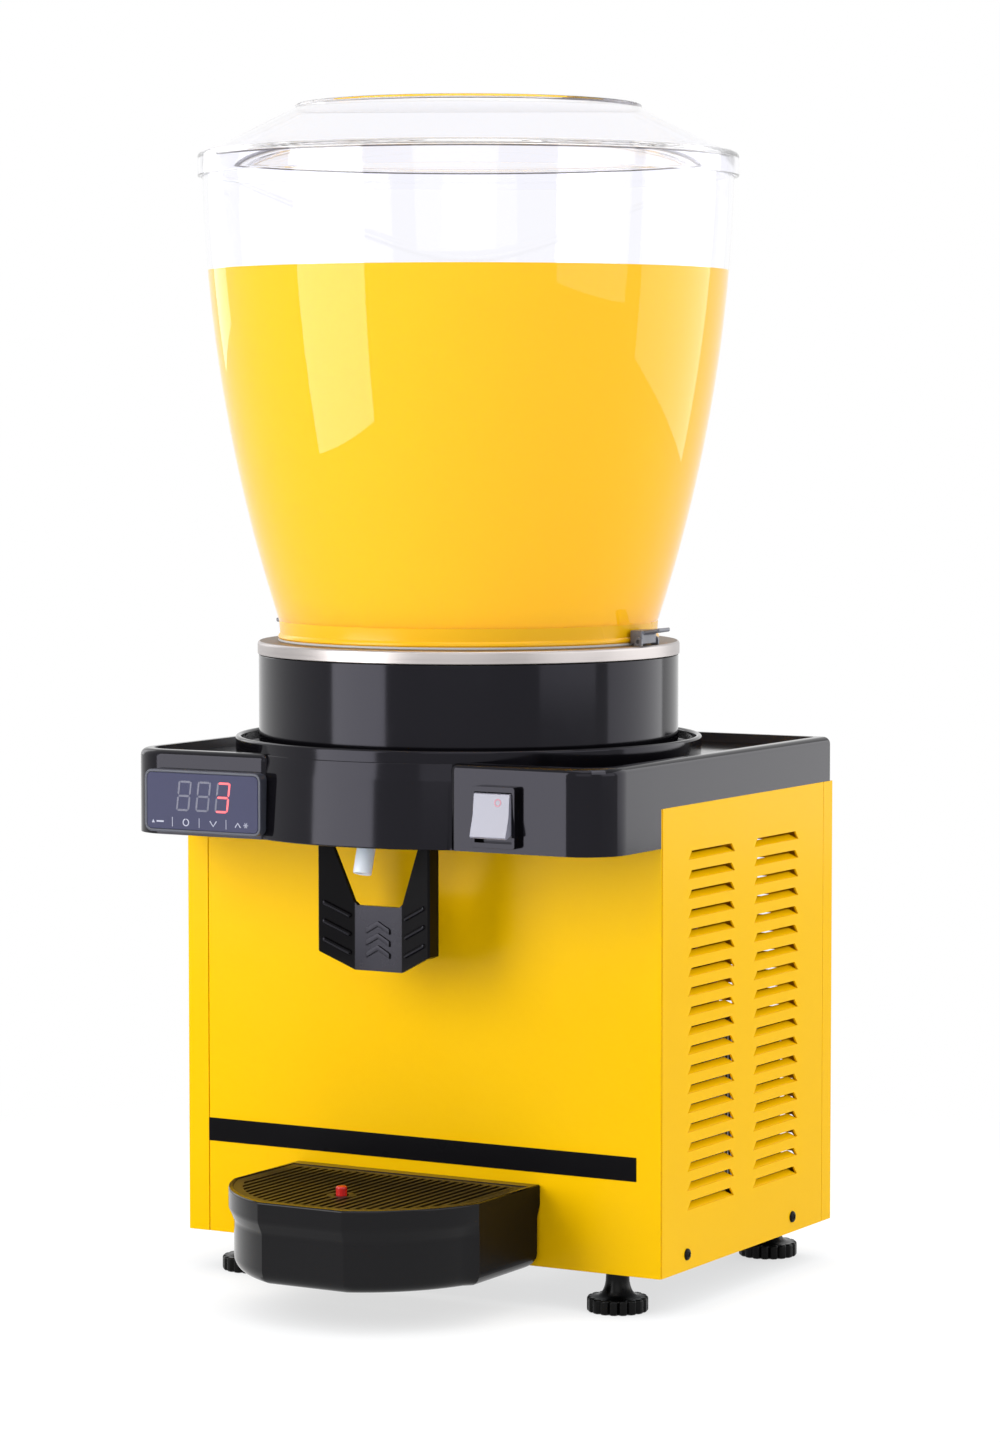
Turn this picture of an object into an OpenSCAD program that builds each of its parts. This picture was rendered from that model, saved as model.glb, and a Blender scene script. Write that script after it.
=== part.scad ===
// Cold drink dispenser: clear bowl on a chilled pan, pinch tap, drip tray and cooling cabinet.
// Millimetres, +Z up, the tap faces -Y, origin on the floor under the middle of the outline.

/* [Cabinet] */
// Width across the side panels
body_w = 300; // [290:1:330]
// Depth from the front panel to the rear panel
body_d = 208; // [204:1:250]
// Height of the sheet metal panels
panel_h = 251; // [248:1:300]
// Thickness of the sheet metal
sheet = 1.2; // [0.8:0.1:1.6]
// Width of the wrap's return on the front face
front_return = 13.2; // [10:0.1:20]
// Width of the wrap's return on the right face
side_return = 11.5; // [8:0.1:20]
// Gap left at a panel seam
seam = 0.4; // [0.2:0.1:0.8]
// Height of the dark band on the front panel
stripe_h = 13; // [8:0.5:30]
// Dark band above the lower edge of the front panel
stripe_up = 51.3; // [48:0.1:100]
// Distance the cable gland stands out at the rear
gland_out = 9; // [6:0.5:14]

/* [Louvres] */
// Length of one louvre
louvre_len = 55; // [40:1:58]
// Height of one louvre opening
louvre_h = 4.6; // [4:0.1:6]
// Rows of louvres
louvre_rows = 19; // [6:1:19]
// Distance between louvre rows
louvre_pitch = 10.5; // [9:0.1:10.8]
// Distance between the two columns of louvres
louvre_gap = 23.5; // [14:0.5:26]
// Top of the louvres below the top of the panel
louvre_down = 25; // [20:0.5:32]
// Angle that a louvre tongue is pressed in
louvre_angle = 40; // [30:1:55]

/* [Feet] */
// Height of the feet
foot_h = 22; // [20:1:40]
// Diameter of a foot
foot_d = 33; // [26:0.5:36]
// Diameter of a foot's threaded stem
stem_d = 10; // [8:0.5:12]
// Foot centres in from the cabinet sides
foot_in_x = 33; // [28:1:50]
// Foot centres in from the cabinet front and rear
foot_in_y = 13.4; // [13:0.1:30]

/* [Top cover] */
// Height of the cover above the side panels
cover_h = 25; // [24:0.5:34]
// Drop of the front skirt below the side skirt
skirt_drop = 21; // [18:0.5:21.5]
// Wall of the moulded cover
cover_wall = 3; // [2:0.1:3.2]
// Reach of the two ears ahead of the front panel
ear_reach = 63; // [61:0.5:66]
// Half of the distance between the ears
ear_inner = 56.7; // [50:0.1:58]
// Radius of the ear corners
ear_corner = 21.5; // [12:0.5:24]
// Radius along the upper edges of the cover
edge_r = 5; // [2:0.5:6]
// Depth of the recessed deck
deck_recess = 5; // [3:0.5:6]
// Width of the raised border
border_w = 8; // [6:0.5:10]
// Radius of the drip gutter and of the front bulge
gutter_r = 130; // [126:0.5:134]
// Height of the gutter's lip above the cover
gutter_lip = 6; // [3:0.5:10]
// Outward flare of the bulge at its lower edge
bulge_flare = 2.4; // [0:0.1:4]

/* [Chilled pan] */
// Bowl axis behind the front panel
axis_back = 55.5; // [54:0.5:70]
// Radius of the black collar
collar_r = 116; // [115.6:0.1:119]
// Height of the black collar
collar_h = 51.8; // [48:0.1:70]
// Wall of the collar
collar_wall = 3; // [2:0.1:3.2]
// Height of the stainless rim
rim_h = 7.2; // [5:0.1:10]
// Inner radius of the pan
pan_r = 98; // [96:0.5:98.5]
// Sheet of the pan
pan_t = 1; // [0.8:0.1:1.2]
// Foam under the pan
foam_t = 15; // [14:0.5:20]
// Outer diameter of the cooling tube
coil_d = 5; // [4:0.1:5.2]
// Turns of the cooling tube
coil_turns = 4; // [3:1:4]
// Distance between the turns
coil_pitch = 8; // [7:0.1:8.5]

/* [Bowl] */
// Outer radius of the bowl's foot
foot_r = 105.2; // [104:0.1:105.4]
// Outer radius of the bowl's neck above its foot
neck_r = 104.2; // [102.5:0.1:104.4]
// Outer radius of the bowl at its rim
bowl_r = 146; // [140:0.1:147]
// Height of the bowl
bowl_h = 263; // [240:1:320]
// Radius of the curve of the bowl's side
bowl_curve = 855; // [600:5:1500]
// Wall of the bowl
bowl_wall = 3; // [2.5:0.1:3.4]
// Thickness of the seal under the bowl
seal_t = 1.2; // [1:0.1:2.5]
// Overhang of the lid beyond the bowl's rim
lid_over = 2.5; // [2.2:0.1:3.6]
// Height of the lid's skirt
lid_skirt = 13; // [10:0.5:18]
// Height of the lid's cone above its skirt
lid_rise = 26.4; // [20:0.2:40]
// Radius of the lid's flat top
lid_top_r = 92.3; // [70:0.1:110]
// Wall of the lid
lid_wall = 2.5; // [2:0.1:3]

/* [Tap] */
// Outer diameter of the outlet tube
tube_d = 10; // [9:0.1:11]
// Bore of the outlet tube
tube_bore = 7; // [6:0.1:7.4]
// Forward lean of the outlet tube
tube_lean = 17; // [14:0.5:19]
// Spout's tip ahead of the front panel
spout_reach = 57.3; // [55:0.1:59]
// Spout's tip below the front skirt
spout_drop = 16; // [10:0.5:20]
// Width of the push lever
lever_w = 70; // [64:0.5:72]
// Lower end of the lever below the front skirt
lever_drop = 70; // [60:0.5:90]
// Width of the lever's push panel
push_w = 29.4; // [24:0.2:34]
// Lever's push panel ahead of the front panel
push_reach = 41; // [39:0.1:42]
// Forward sweep of the lever's wings
wing_sweep = 5.5; // [3:0.1:7]
// Wall of the lever
lever_wall = 3; // [2.4:0.1:3.2]
// Depth of the lever's side returns
lever_depth = 10; // [8:0.5:11]
// Diameter of the lever's hinge pin
pin_d = 4; // [3:0.1:4.6]

/* [Controls] */
// Width of the temperature controller
control_w = 75; // [60:0.5:78]
// Height of the temperature controller
control_h = 34; // [28:0.5:35]
// Distance the controller stands proud
control_out = 6; // [3:0.5:8]
// Inner edge of the controller beyond the ear's inner face
control_in = 0.2; // [0.2:0.1:3]
// Width of the switch bezel
switch_w = 25.7; // [24:0.1:27]
// Height of the switch bezel
switch_h = 32.3; // [30:0.1:34]
// Distance the switch bezel stands proud
switch_out = 5; // [4:0.1:7]
// Centre of the switch from the middle
switch_x = 86.6; // [80:0.1:100]

/* [Drip tray] */
// Width of the drip tray
tray_w = 154; // [144:1:170]
// Reach of the drip tray ahead of the front panel
tray_reach = 121; // [110:1:130]
// Height of the drip tray
tray_h = 45; // [40:0.5:48]
// Length of the straight sides of the tray
tray_side = 66; // [58:0.5:70]
// Width of the flat front of the tray
tray_front = 52; // [46:1:64]
// Radius of the tray's curved corners
tray_curve = 92; // [85:1:110]
// Wall of the tray
tray_wall = 2.5; // [2:0.1:3]
// Height of the band round the tray's rim
tray_band = 11; // [8:0.5:16]
// Rounding along the tray's lower edge
tray_round = 12; // [6:0.5:14]
// Distance between the bars of the grid
bar_pitch = 5.2; // [4.6:0.1:7]
// Width of one slot of the grid
slot_w = 2.8; // [2:0.1:3.4]
// Diameter of the red level pin
level_d = 6; // [5:0.1:7]

/* [Hidden] */
$fn = 64;
fit = 0.05;
gap = 0.3;
half_w = body_w / 2;
front_y = (tray_reach - body_d - gland_out) / 2;
rear_y = front_y + body_d;
mid_y = (front_y + rear_y) / 2;
axis_y = front_y + axis_back;
ear_y = front_y - ear_reach;
base_z = foot_h;
floor_z = base_z + sheet;
panel_top = base_z + panel_h;
cover_top = panel_top + cover_h;
skirt_z = panel_top - skirt_drop;
deck_z = cover_top - deck_recess;
gutter_z = cover_top - 1;
gutter_floor = 4;
lip_wall = 3.5;
gutter_step = 1;
plate_rise = 14.5;
plate_t = 1.5;
plate_z = panel_top + plate_rise;
pan_floor = plate_z + foam_t + pan_t;
collar_top = gutter_z + collar_h;
rim_z = collar_top + rim_h;
rim_r = collar_r + 0.6;
collar_in = collar_r - collar_wall;
bowl_z = rim_z + seal_t;
bowl_top = bowl_z + bowl_h;
bowl_foot_h = 9;
lid_ledge = 3;
fold = 10;
control_z = skirt_z + 19;
control_x = ear_inner + control_in + control_w / 2;

yellow = [1, 0.8, 0];
gloss_black = [0.05, 0.05, 0.06];
matt_black = [0.12, 0.12, 0.13];
steel = [0.75, 0.76, 0.78];
clear = [0.9, 0.95, 1, 0.35];
copper = [0.72, 0.45, 0.25];
grey = [0.5, 0.5, 0.52];

function unit(v) = v / norm(v);
function pick(list, i) = list[max(0, min(len(list) - 1, i))];

// Centre of a circle through p and q, to the left of the way from p to q
function arc_centre(p, q, r) = let (d = q - p, n = [-d[1], d[0]] / norm(d))
    (p + q) / 2 + n * sqrt(r * r - d * d / 4);

// Points of a route with its corners rounded
function bend(a, b, c, r, n) = let (
    u = unit(a - b), v = unit(c - b), half = acos(u * v) / 2,
    o = b + unit(u + v) * r / sin(half), s = b + u * r / tan(half) - o, e = b + v * r / tan(half) - o
) [for (k = [0:n]) o + r * unit((1 - k / n) * s + k / n * e)];
function route(p, r, n = 5) = concat(
    [p[0]], [for (i = [1:len(p) - 2]) each bend(p[i - 1], p[i], p[i + 1], r, n)], [p[len(p) - 1]]);

// Normals carried along a path without twist
function carry(t, i, u) = i == len(t) ? [] : let (w = unit(u - (u * t[i]) * t[i]))
    concat([w], carry(t, i + 1, w));

module tube_along(path, r, sides = 8) {
    last = len(path) - 1;
    along = [for (i = [0:last]) unit(pick(path, i + 1) - pick(path, i - 1))];
    side = carry(along, 0, cross(along[0], abs(along[0][2]) > 0.9 ? [1, 0, 0] : [0, 0, 1]));
    rings = [for (i = [0:last], k = [0:sides - 1])
        path[i] + r * (cos(360 * k / sides) * side[i] + sin(360 * k / sides) * cross(along[i], side[i]))];
    walls = [for (i = [0:last - 1], k = [0:sides - 1]) let (a = i * sides + k,
        b = i * sides + (k + 1) % sides)
        each [[a, a + sides, b], [b, a + sides, b + sides]]];
    start = [for (k = [1:sides - 2]) [0, k, k + 1]];
    finish = [for (k = [1:sides - 2]) [last * sides, last * sides + k + 1, last * sides + k]];
    polyhedron(rings, concat(walls, start, finish));
}

module ring(r_out, r_in, h) {
    linear_extrude(h) difference() {
        circle(r_out);
        circle(r_in);
    }
}

module along_x(r, length) rotate([0, 90, 0]) cylinder(r = r, h = length, center = true);
module along_y(r, length) rotate([90, 0, 0]) cylinder(r = r, h = length, center = true);
module mirrored_x() {
    children();
    mirror([1, 0, 0]) children();
}

// Cabinet

louvre_slant = 4;
tongue_t = 1;

module louvre_outline(shrink = 0) {
    polygon([[shrink, 0], [louvre_len - shrink, 0], [louvre_len - louvre_slant - shrink, louvre_h],
        [louvre_slant + shrink, louvre_h]]);
}

module at_louvres(start) {
    for (column = [0, 1], row = [0:louvre_rows - 1])
        translate([start + column * (louvre_len + louvre_gap),
            panel_top - louvre_down - louvre_h - row * louvre_pitch])
            children();
}

// Panel with pressed-in louvres, inner face at zero thickness
module louvred(u0, u1, start) {
    root = 0.7;
    difference() {
        translate([u0, base_z]) linear_extrude(sheet) square([u1 - u0, panel_h]);
        at_louvres(start) translate([0, 0, -1]) linear_extrude(sheet + 2) louvre_outline();
    }
    at_louvres(start) translate([0, 0, -sheet / 2]) rotate([-louvre_angle, 0, 0]) translate([0, -root])
        linear_extrude(tongue_t) louvre_outline(0.5);
}

screw_r = 2;
screw_head_r = 3.2;
screw_head_t = 1.6;
screw_z = base_z + 8.7;
screw_ys = [front_y + 30.6, rear_y - 49.5];
flange_h = 18;

module at_side_screws() {
    for (y = screw_ys) translate([0, y, screw_z]) children();
}

module front_panel() color(yellow) {
    left = -half_w + front_return + seam;
    translate([left, front_y, base_z]) cube([half_w - left, sheet, panel_h]);
    translate([left + fold, front_y, panel_top - sheet]) cube([half_w - left - 2 * fold, fold, sheet]);
}

module side_panel() color(yellow) {
    start_y = front_y + sheet + seam;
    end_y = rear_y - side_return - seam;
    louvre_y = front_y + 31;
    difference() {
        translate([half_w - sheet, 0, 0]) rotate([90, 0, 90]) louvred(start_y, end_y, louvre_y);
        at_side_screws() translate([half_w, 0, 0]) along_x(screw_r + fit, 6 * sheet);
    }
    translate([half_w - fold, start_y + fold, panel_top - sheet])
        cube([fold, end_y - start_y - 2 * fold, sheet]);
}

gland_r = 8;
gland_x = -half_w + 40;
gland_z = base_z + 32;

module wrap_panel() color(yellow) {
    rear_start = half_w - 20 - 2 * louvre_len - louvre_gap;
    difference() {
        union() {
            translate([0, rear_y, 0]) rotate([90, 0, 0]) translate([0, 0, sheet]) mirror([0, 0, 1])
                louvred(-half_w, half_w, rear_start);
            translate([-half_w, front_y, base_z]) cube([sheet, body_d, panel_h]);
        }
        translate([gland_x, rear_y, gland_z]) along_y(gland_r + fit, 6 * sheet);
        at_side_screws() translate([-half_w, 0, 0]) along_x(screw_r + fit, 6 * sheet);
    }
    translate([-half_w, front_y, base_z]) cube([front_return, sheet, panel_h]);
    translate([half_w - sheet, rear_y - side_return, base_z]) cube([sheet, side_return, panel_h]);
    translate([-half_w, front_y + fold, panel_top - sheet]) cube([fold, body_d - 3 * fold, sheet]);
    translate([-half_w + fold, rear_y - fold, panel_top - sheet]) cube([body_w - 2 * fold, fold, sheet]);
}

stripe_t = 0.4;

module front_stripe() color(gloss_black) {
    left = -half_w + front_return + seam;
    right = half_w - 14.6;
    translate([left, front_y - stripe_t, base_z + stripe_up]) cube([right - left, stripe_t, stripe_h]);
}

module at_feet() {
    for (x = [-1, 1], y = [front_y + foot_in_y, rear_y - foot_in_y])
        translate([x * (half_w - foot_in_x), y, 0])
        children();
}

module base_pan() color(steel) {
    side = half_w - sheet - fit;
    start = front_y + sheet + fit;
    depth = body_d - 2 * sheet - 2 * fit;
    vents = 6;
    vent_pitch = 14;
    vent_w = 30;
    difference() {
        translate([-side, start, base_z]) cube([2 * side, depth, flange_h]);
        translate([-side + sheet, start + sheet, floor_z])
            cube([2 * side - 2 * sheet, depth - 2 * sheet, flange_h]);
        at_feet() cylinder(r = stem_d / 2 + 0.5, h = 4 * base_z, center = true);
        at_side_screws() along_x(screw_r + fit, 2 * body_w);
        for (i = [0:vents - 1]) translate([core_x - 74, mid_y - 40 + i * vent_pitch, base_z - 1])
            linear_extrude(4 * sheet) square([vent_w, 5], center = true);
    }
}

nut_h = 8;

module foot_nuts() color(steel) {
    at_feet() translate([0, 0, floor_z]) difference() {
        cylinder(r = stem_d * 0.9, h = nut_h, $fn = 6);
        translate([0, 0, -1]) cylinder(r = stem_d / 2 + fit, h = nut_h + 2);
    }
}

module foot(x, y) color(matt_black) {
    r = foot_d / 2;
    neck = 6.3;
    rim = 8;
    knurls = 18;
    knurl_r = 1.5;
    flare = min(base_z - rim - 3, 11);
    translate([x * (half_w - foot_in_x), y > 0 ? rear_y - foot_in_y : front_y + foot_in_y, 0]) difference() {
        union() {
            rotate_extrude() polygon(concat(
                [[0, 0], [r - 1, 0], [r, 1], [r, rim - 1], [r - 1, rim]],
                [for (a = [0:15:90]) [neck + (r - 5 - neck) * (1 - sin(a)),
                    rim + 0.4 + flare * (1 - cos(a))]],
                [[neck, base_z - gap], [0, base_z - gap]]));
            cylinder(r = stem_d / 2, h = floor_z + nut_h + 4);
        }
        for (i = [0:knurls - 1]) rotate(360 * i / knurls) translate([r + 0.6, 0, -1])
            cylinder(r = knurl_r, h = rim + 1);
    }
}

module foot_front_left() foot(-1, -1);
module foot_front_right() foot(1, -1);
module foot_rear_left() foot(-1, 1);
module foot_rear_right() foot(1, 1);

module panel_screws() color(matt_black) {
    mirrored_x() at_side_screws() translate([half_w, 0, 0]) {
        translate([screw_head_t / 2, 0, 0]) along_x(screw_head_r, screw_head_t);
        translate([-3, 0, 0]) along_x(screw_r, 6);
    }
}

module cable_gland() color(matt_black) {
    inner = 9;
    translate([gland_x, rear_y, gland_z]) difference() {
        union() {
            translate([0, gland_out / 2, 0]) along_y(gland_r + 3, gland_out);
            translate([0, -inner / 2, 0]) along_y(gland_r, inner);
            translate([0, -sheet - 2, 0]) along_y(gland_r + 3, 4);
        }
        translate([0, (gland_out - inner) / 2, 0]) along_y(gland_r / 2, gland_out + inner + 2);
    }
}

// Top cover

module cover_plan(inset = 0) {
    corner_y = ear_y + ear_corner;
    translate([-half_w + inset, corner_y]) square([body_w - 2 * inset, rear_y - inset - corner_y]);
    mirrored_x() {
        translate([half_w - ear_corner, corner_y]) circle(ear_corner - inset);
        translate([ear_inner + inset, ear_y + inset])
            square([half_w - ear_corner - ear_inner - inset, ear_corner]);
    }
    translate([0, axis_y]) circle(gutter_r - inset);
}

module rounded_top(width, height) {
    translate([-width / 2, 0]) square([width, height - edge_r]);
    translate([-width / 2 + edge_r, 0]) square([width - 2 * edge_r, height]);
    mirrored_x() translate([width / 2 - edge_r, height - edge_r]) circle(edge_r);
}

module cover_block() {
    height = cover_top - skirt_z;
    length = rear_y - ear_y;
    intersection() {
        translate([0, 0, skirt_z]) linear_extrude(height) cover_plan();
        translate([0, rear_y, skirt_z]) rotate([90, 0, 0]) linear_extrude(2 * body_d)
            rounded_top(body_w, height);
        union() {
            translate([-half_w, (rear_y + ear_y) / 2, skirt_z]) rotate([90, 0, 90]) linear_extrude(body_w)
                rounded_top(length, height);
            translate([0, axis_y, skirt_z]) cylinder(r = gutter_r, h = height);
        }
    }
}

controller_case_w = min(control_w - 4.5, 2 * (control_x - ear_inner - cover_wall - 2 * gap));
controller_case_h = control_h - 5.5;
switch_case_w = switch_w - 4.2;
switch_case_h = switch_h - 2.8;

module top_cover() color(gloss_black) {
    lip_top = cover_top + gutter_lip;
    under = deck_z - cover_wall;
    difference() {
        union() {
            cover_block();
            intersection() {
                translate([0, axis_y, skirt_z])
                    cylinder(r1 = gutter_r + bulge_flare, r2 = gutter_r, h = gutter_z - skirt_z);
                union() {
                    translate([-ear_inner, ear_y - ear_reach, 0])
                        cube([2 * ear_inner, 2 * ear_reach, 2 * cover_top]);
                    translate([-half_w, ear_y, 0]) cube([body_w, 2 * body_d, 2 * cover_top]);
                }
            }
            translate([0, axis_y, under]) cylinder(r = gutter_r - gutter_step, h = lip_top - under);
        }
        translate([-body_w, front_y - gap, 0]) cube([2 * body_w, body_d + 2 * ear_reach, panel_top]);
        translate([0, 0, skirt_z - 1]) linear_extrude(under - skirt_z + 1) cover_plan(cover_wall);
        translate([0, axis_y, skirt_z - 1]) cylinder(r1 = gutter_r + bulge_flare - cover_wall,
            r2 = gutter_r - cover_wall, h = under - skirt_z + 1);
        translate([0, 0, deck_z]) linear_extrude(cover_h) difference() {
            cover_plan(border_w);
            translate([0, axis_y]) circle(gutter_r);
        }
        translate([0, axis_y, gutter_z]) cylinder(r = gutter_r - gutter_step - lip_wall, h = cover_h);
        translate([0, axis_y, 0]) cylinder(r = collar_in, h = 2 * cover_top);
        translate([-control_x, ear_y, control_z])
            cube([controller_case_w + 2 * gap, 4 * cover_wall, controller_case_h + 2 * gap], center = true);
        translate([switch_x, ear_y, control_z])
            cube([switch_case_w + 2 * gap, 4 * cover_wall, switch_case_h + 2 * gap], center = true);
    }
}

soffit_t = 2;
soffit_z = skirt_z + 1;
tap_half = 42;

module front_soffit() color(matt_black) {
    translate([0, 0, soffit_z]) linear_extrude(soffit_t) difference() {
        cover_plan(cover_wall + gap);
        translate([-body_w, front_y - gap]) square([2 * body_w, 2 * body_d]);
        translate([-tap_half, front_y - push_reach - 20]) square([2 * tap_half, 38]);
    }
}

module deck_plate() color(steel) {
    side = half_w - cover_wall - 1.5;
    start = front_y + 3;
    end = rear_y - cover_wall - 1.5;
    difference() {
        union() {
            translate([-side, start, panel_top]) cube([2 * side, end - start, plate_rise]);
            translate([0, axis_y, plate_z - plate_t]) cylinder(r = collar_in - 1, h = plate_t);
        }
        translate([-side + sheet, start + sheet, panel_top - 1])
            cube([2 * side - 2 * sheet, end - start - 2 * sheet, plate_rise - plate_t + 1]);
        translate([0, axis_y, 0]) cylinder(r = shaft_r + 2, h = 2 * plate_z);
        at_tube() cylinder(r = tube_d / 2 + 1.5, h = 2 * plate_z);
        line_holes();
    }
}

// Chilled pan

module collar() color(gloss_black) {
    round_r = 1;
    translate([0, axis_y, gutter_z]) rotate_extrude($fn = 128) difference() {
        translate([collar_in, 0]) square([collar_wall, collar_h]);
        translate([collar_r - round_r, -0.01]) difference() {
            square([2 * round_r, round_r]);
            translate([0, round_r]) circle(round_r);
        }
    }
}

post_r = 5;
post_h = 26;
clip_pin_r = 1;
clip_len = 17;
clip_w = 7.3;
clip_in = foot_r + 0.5;
clip_x = clip_in + clip_w - 1.5;
clip_z = rim_z + 2.3;
lug_t = 1.5;

module at_clip_lugs() {
    for (x = [-1, 1], y = [-1, 1])
        translate([x * clip_x, axis_y + y * (clip_len / 2 + gap + lug_t / 2), clip_z]) children();
}

module evaporator_pan() color(steel) {
    stub_r = tube_bore / 2 - fit;
    outer = pan_r + pan_t;
    difference() {
        union() {
            translate([0, axis_y, 0]) rotate_extrude($fn = 128) polygon([
                [0, pan_floor - pan_t], [outer, pan_floor - pan_t], [outer, rim_z - pan_t],
                [rim_r - pan_t, rim_z - pan_t],
                [rim_r - pan_t, collar_top], [rim_r, collar_top], [rim_r, rim_z - 1], [rim_r - 1, rim_z],
                [pan_r, rim_z], [pan_r, pan_floor], [0, pan_floor]]);
            translate([0, axis_y, pan_floor - pan_t]) cylinder(r = post_r, h = post_h);
            intersection() {
                at_tube() cylinder(r = stub_r, h = tube_len + 20);
                translate([0, axis_y, pan_floor - 16]) cylinder(r = pan_r, h = 16 - pan_t / 2);
            }
            at_clip_lugs() {
                along_y(2.3, lug_t);
                translate([0, 0, -1.4]) cube([4.6, lug_t, 2.8], center = true);
            }
        }
        at_tube() cylinder(r = stub_r - 0.8, h = tube_len + 20);
        at_clip_lugs() along_y(clip_pin_r + fit, 4 * lug_t);
    }
}

module clip_pins() color(steel) {
    mirrored_x() translate([clip_x, axis_y, clip_z]) along_y(clip_pin_r, clip_len + 2 * gap + 2 * lug_t);
}

coil_r = pan_r + pan_t + gap + coil_d / 2;
coil_z = pan_floor + 7;
coil_end = 90 + 360 * coil_turns;
coil_path = [for (a = [90:7.5:coil_end])
    [coil_r * cos(a), axis_y + coil_r * sin(a), coil_z + coil_pitch * (a - 90) / 360]];
coil_gap = min([for (i = [0:len(coil_path) - 49]) norm(coil_path[i + 48] - coil_path[i])]) - coil_d;
echo("Least gap between the turns of the cooling tube", coil_gap);

module cooling_coil() color(copper) tube_along(coil_path, coil_d / 2, 6);

line_x = 14;
line_out = 6;

// Passages for the two tubes that run from the pan down into the cabinet
module line_holes() {
    translate([line_x, axis_y + coil_r, panel_top - 1]) cylinder(r = coil_d / 2 + 3.5, h = 2 * panel_top);
    translate([-line_x, axis_y + coil_r + line_out, panel_top - 1]) cylinder(r = 2.5, h = 2 * panel_top);
}

module pan_insulation() color([0.95, 0.93, 0.85]) {
    foam_in = coil_r + coil_d / 2 + gap;
    foam_out = collar_in - gap;
    difference() {
        translate([0, axis_y, plate_z]) rotate_extrude($fn = 128) polygon([
            [magnet_r + 3, 0], [foam_out, 0], [foam_out, collar_top - plate_z],
            [foam_in, collar_top - plate_z],
            [foam_in, foam_t], [magnet_r + 3, foam_t]]);
        at_tube() cylinder(r = tube_d / 2 + 1.5, h = tube_len + 20);
        line_holes();
    }
}

magnet_r = 28;
magnet_t = 9;
shaft_r = 4;
motor_r = 30;
motor_h = 36;
motor_flange = 3;

module magnet_drive() color(steel) {
    translate([0, axis_y, plate_z + 3]) cylinder(r = magnet_r, h = magnet_t);
    translate([0, axis_y, plate_z - plate_t - motor_h]) cylinder(r = shaft_r, h = motor_h + plate_t + 4);
}

module stir_motor() color(grey) {
    top = plate_z - plate_t;
    translate([0, axis_y, 0]) difference() {
        union() {
            translate([-37, -37, top - motor_flange]) cube([74, 74, motor_flange]);
            translate([0, 0, top - motor_h - 4]) cylinder(r = motor_r, h = motor_h + 4);
            translate([0, 11, top - motor_h - 36]) cylinder(r = 18, h = 36);
        }
        translate([0, 0, top - motor_h]) cylinder(r = shaft_r + fit, h = 2 * motor_h);
        for (x = [-1, 1], y = [-1, 1]) translate([31 * x, 31 * y, top - 9]) cylinder(r = 2.2, h = 18);
    }
}

module paddle() color([0.9, 0.9, 0.9]) {
    reach = pan_r - 5;
    blade_r = reach / 2 - 1;
    blade_t = 3.5;
    blade_h = 18;
    lift = pan_floor + gap;
    translate([0, axis_y, lift]) difference() {
        union() {
            cylinder(r = magnet_r, h = 8);
            cylinder(r = 2.2 * post_r, h = post_h - 4);
            translate([0, 0, 2]) linear_extrude(blade_h) for (a = [0, 180]) rotate(a) intersection() {
                translate([blade_r, 0]) difference() {
                    circle(blade_r + blade_t / 2);
                    circle(blade_r - blade_t / 2);
                }
                translate([0, 0]) square([2 * reach, 2 * reach]);
            }
        }
        translate([0, 0, -1]) cylinder(r = post_r + fit, h = post_h + 2);
    }
}

// Bowl, seal, lid and clips

module bowl_seal() color([0.85, 0.85, 0.85]) {
    translate([0, axis_y, rim_z]) ring(foot_r, pan_r + 1, seal_t);
}

neck_z = bowl_z + bowl_foot_h;
side_centre = arc_centre([neck_r, neck_z], [bowl_r, bowl_top], bowl_curve);

module bowl() color(clear) {
    foot_in = neck_r - bowl_wall;
    translate([0, axis_y, 0]) rotate_extrude($fn = 160) {
        intersection() {
            translate(side_centre) difference() {
                circle(bowl_curve, $fn = 1440);
                circle(bowl_curve - bowl_wall, $fn = 1440);
            }
            translate([0, neck_z]) square([2 * bowl_r, bowl_top - neck_z]);
        }
        translate([foot_in, bowl_z]) square([neck_r - foot_in, bowl_foot_h + 0.2]);
        translate([foot_in, bowl_z]) square([foot_r - foot_in, bowl_foot_h - 2]);
    }
}

lid_r = bowl_r + lid_over;
lid_bottom = bowl_top + lid_ledge - lid_skirt;
lid_seat = bowl_top + gap;
lid_top = lid_bottom + lid_skirt + lid_rise - 1.6;

module lid_outline(inset) {
    round_r = 5 - min(inset, 3);
    top = lid_bottom + lid_skirt - inset;
    out = lid_r - inset;
    translate([0, lid_bottom]) square([out, top - lid_bottom - round_r]);
    translate([0, lid_bottom]) square([out - round_r, top - lid_bottom]);
    translate([out - round_r, top - round_r]) circle(round_r);
    polygon([[0, top - 1], [out - round_r, top - 1], [out - round_r, top],
        [lid_top_r + 3 - inset / 2, lid_top - inset],
        [0, lid_top - inset]]);
}

module lid() color(clear) {
    bead = 1.6;
    translate([0, axis_y, 0]) rotate_extrude($fn = 160) {
        difference() {
            intersection() {
                lid_outline(0);
                translate([0, lid_bottom]) square([2 * lid_r, lid_skirt + lid_rise + 10]);
            }
            intersection() {
                lid_outline(lid_wall);
                translate([0, lid_bottom - 1]) square([bowl_r - bowl_wall - 1, lid_skirt + lid_rise + 10]);
            }
            translate([0, lid_bottom - 1]) square([bowl_r + gap, lid_seat - lid_bottom + 1]);
        }
        translate([lid_top_r + 1, lid_top - 0.2]) circle(bead + 0.2, $fn = 32);
    }
}

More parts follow.
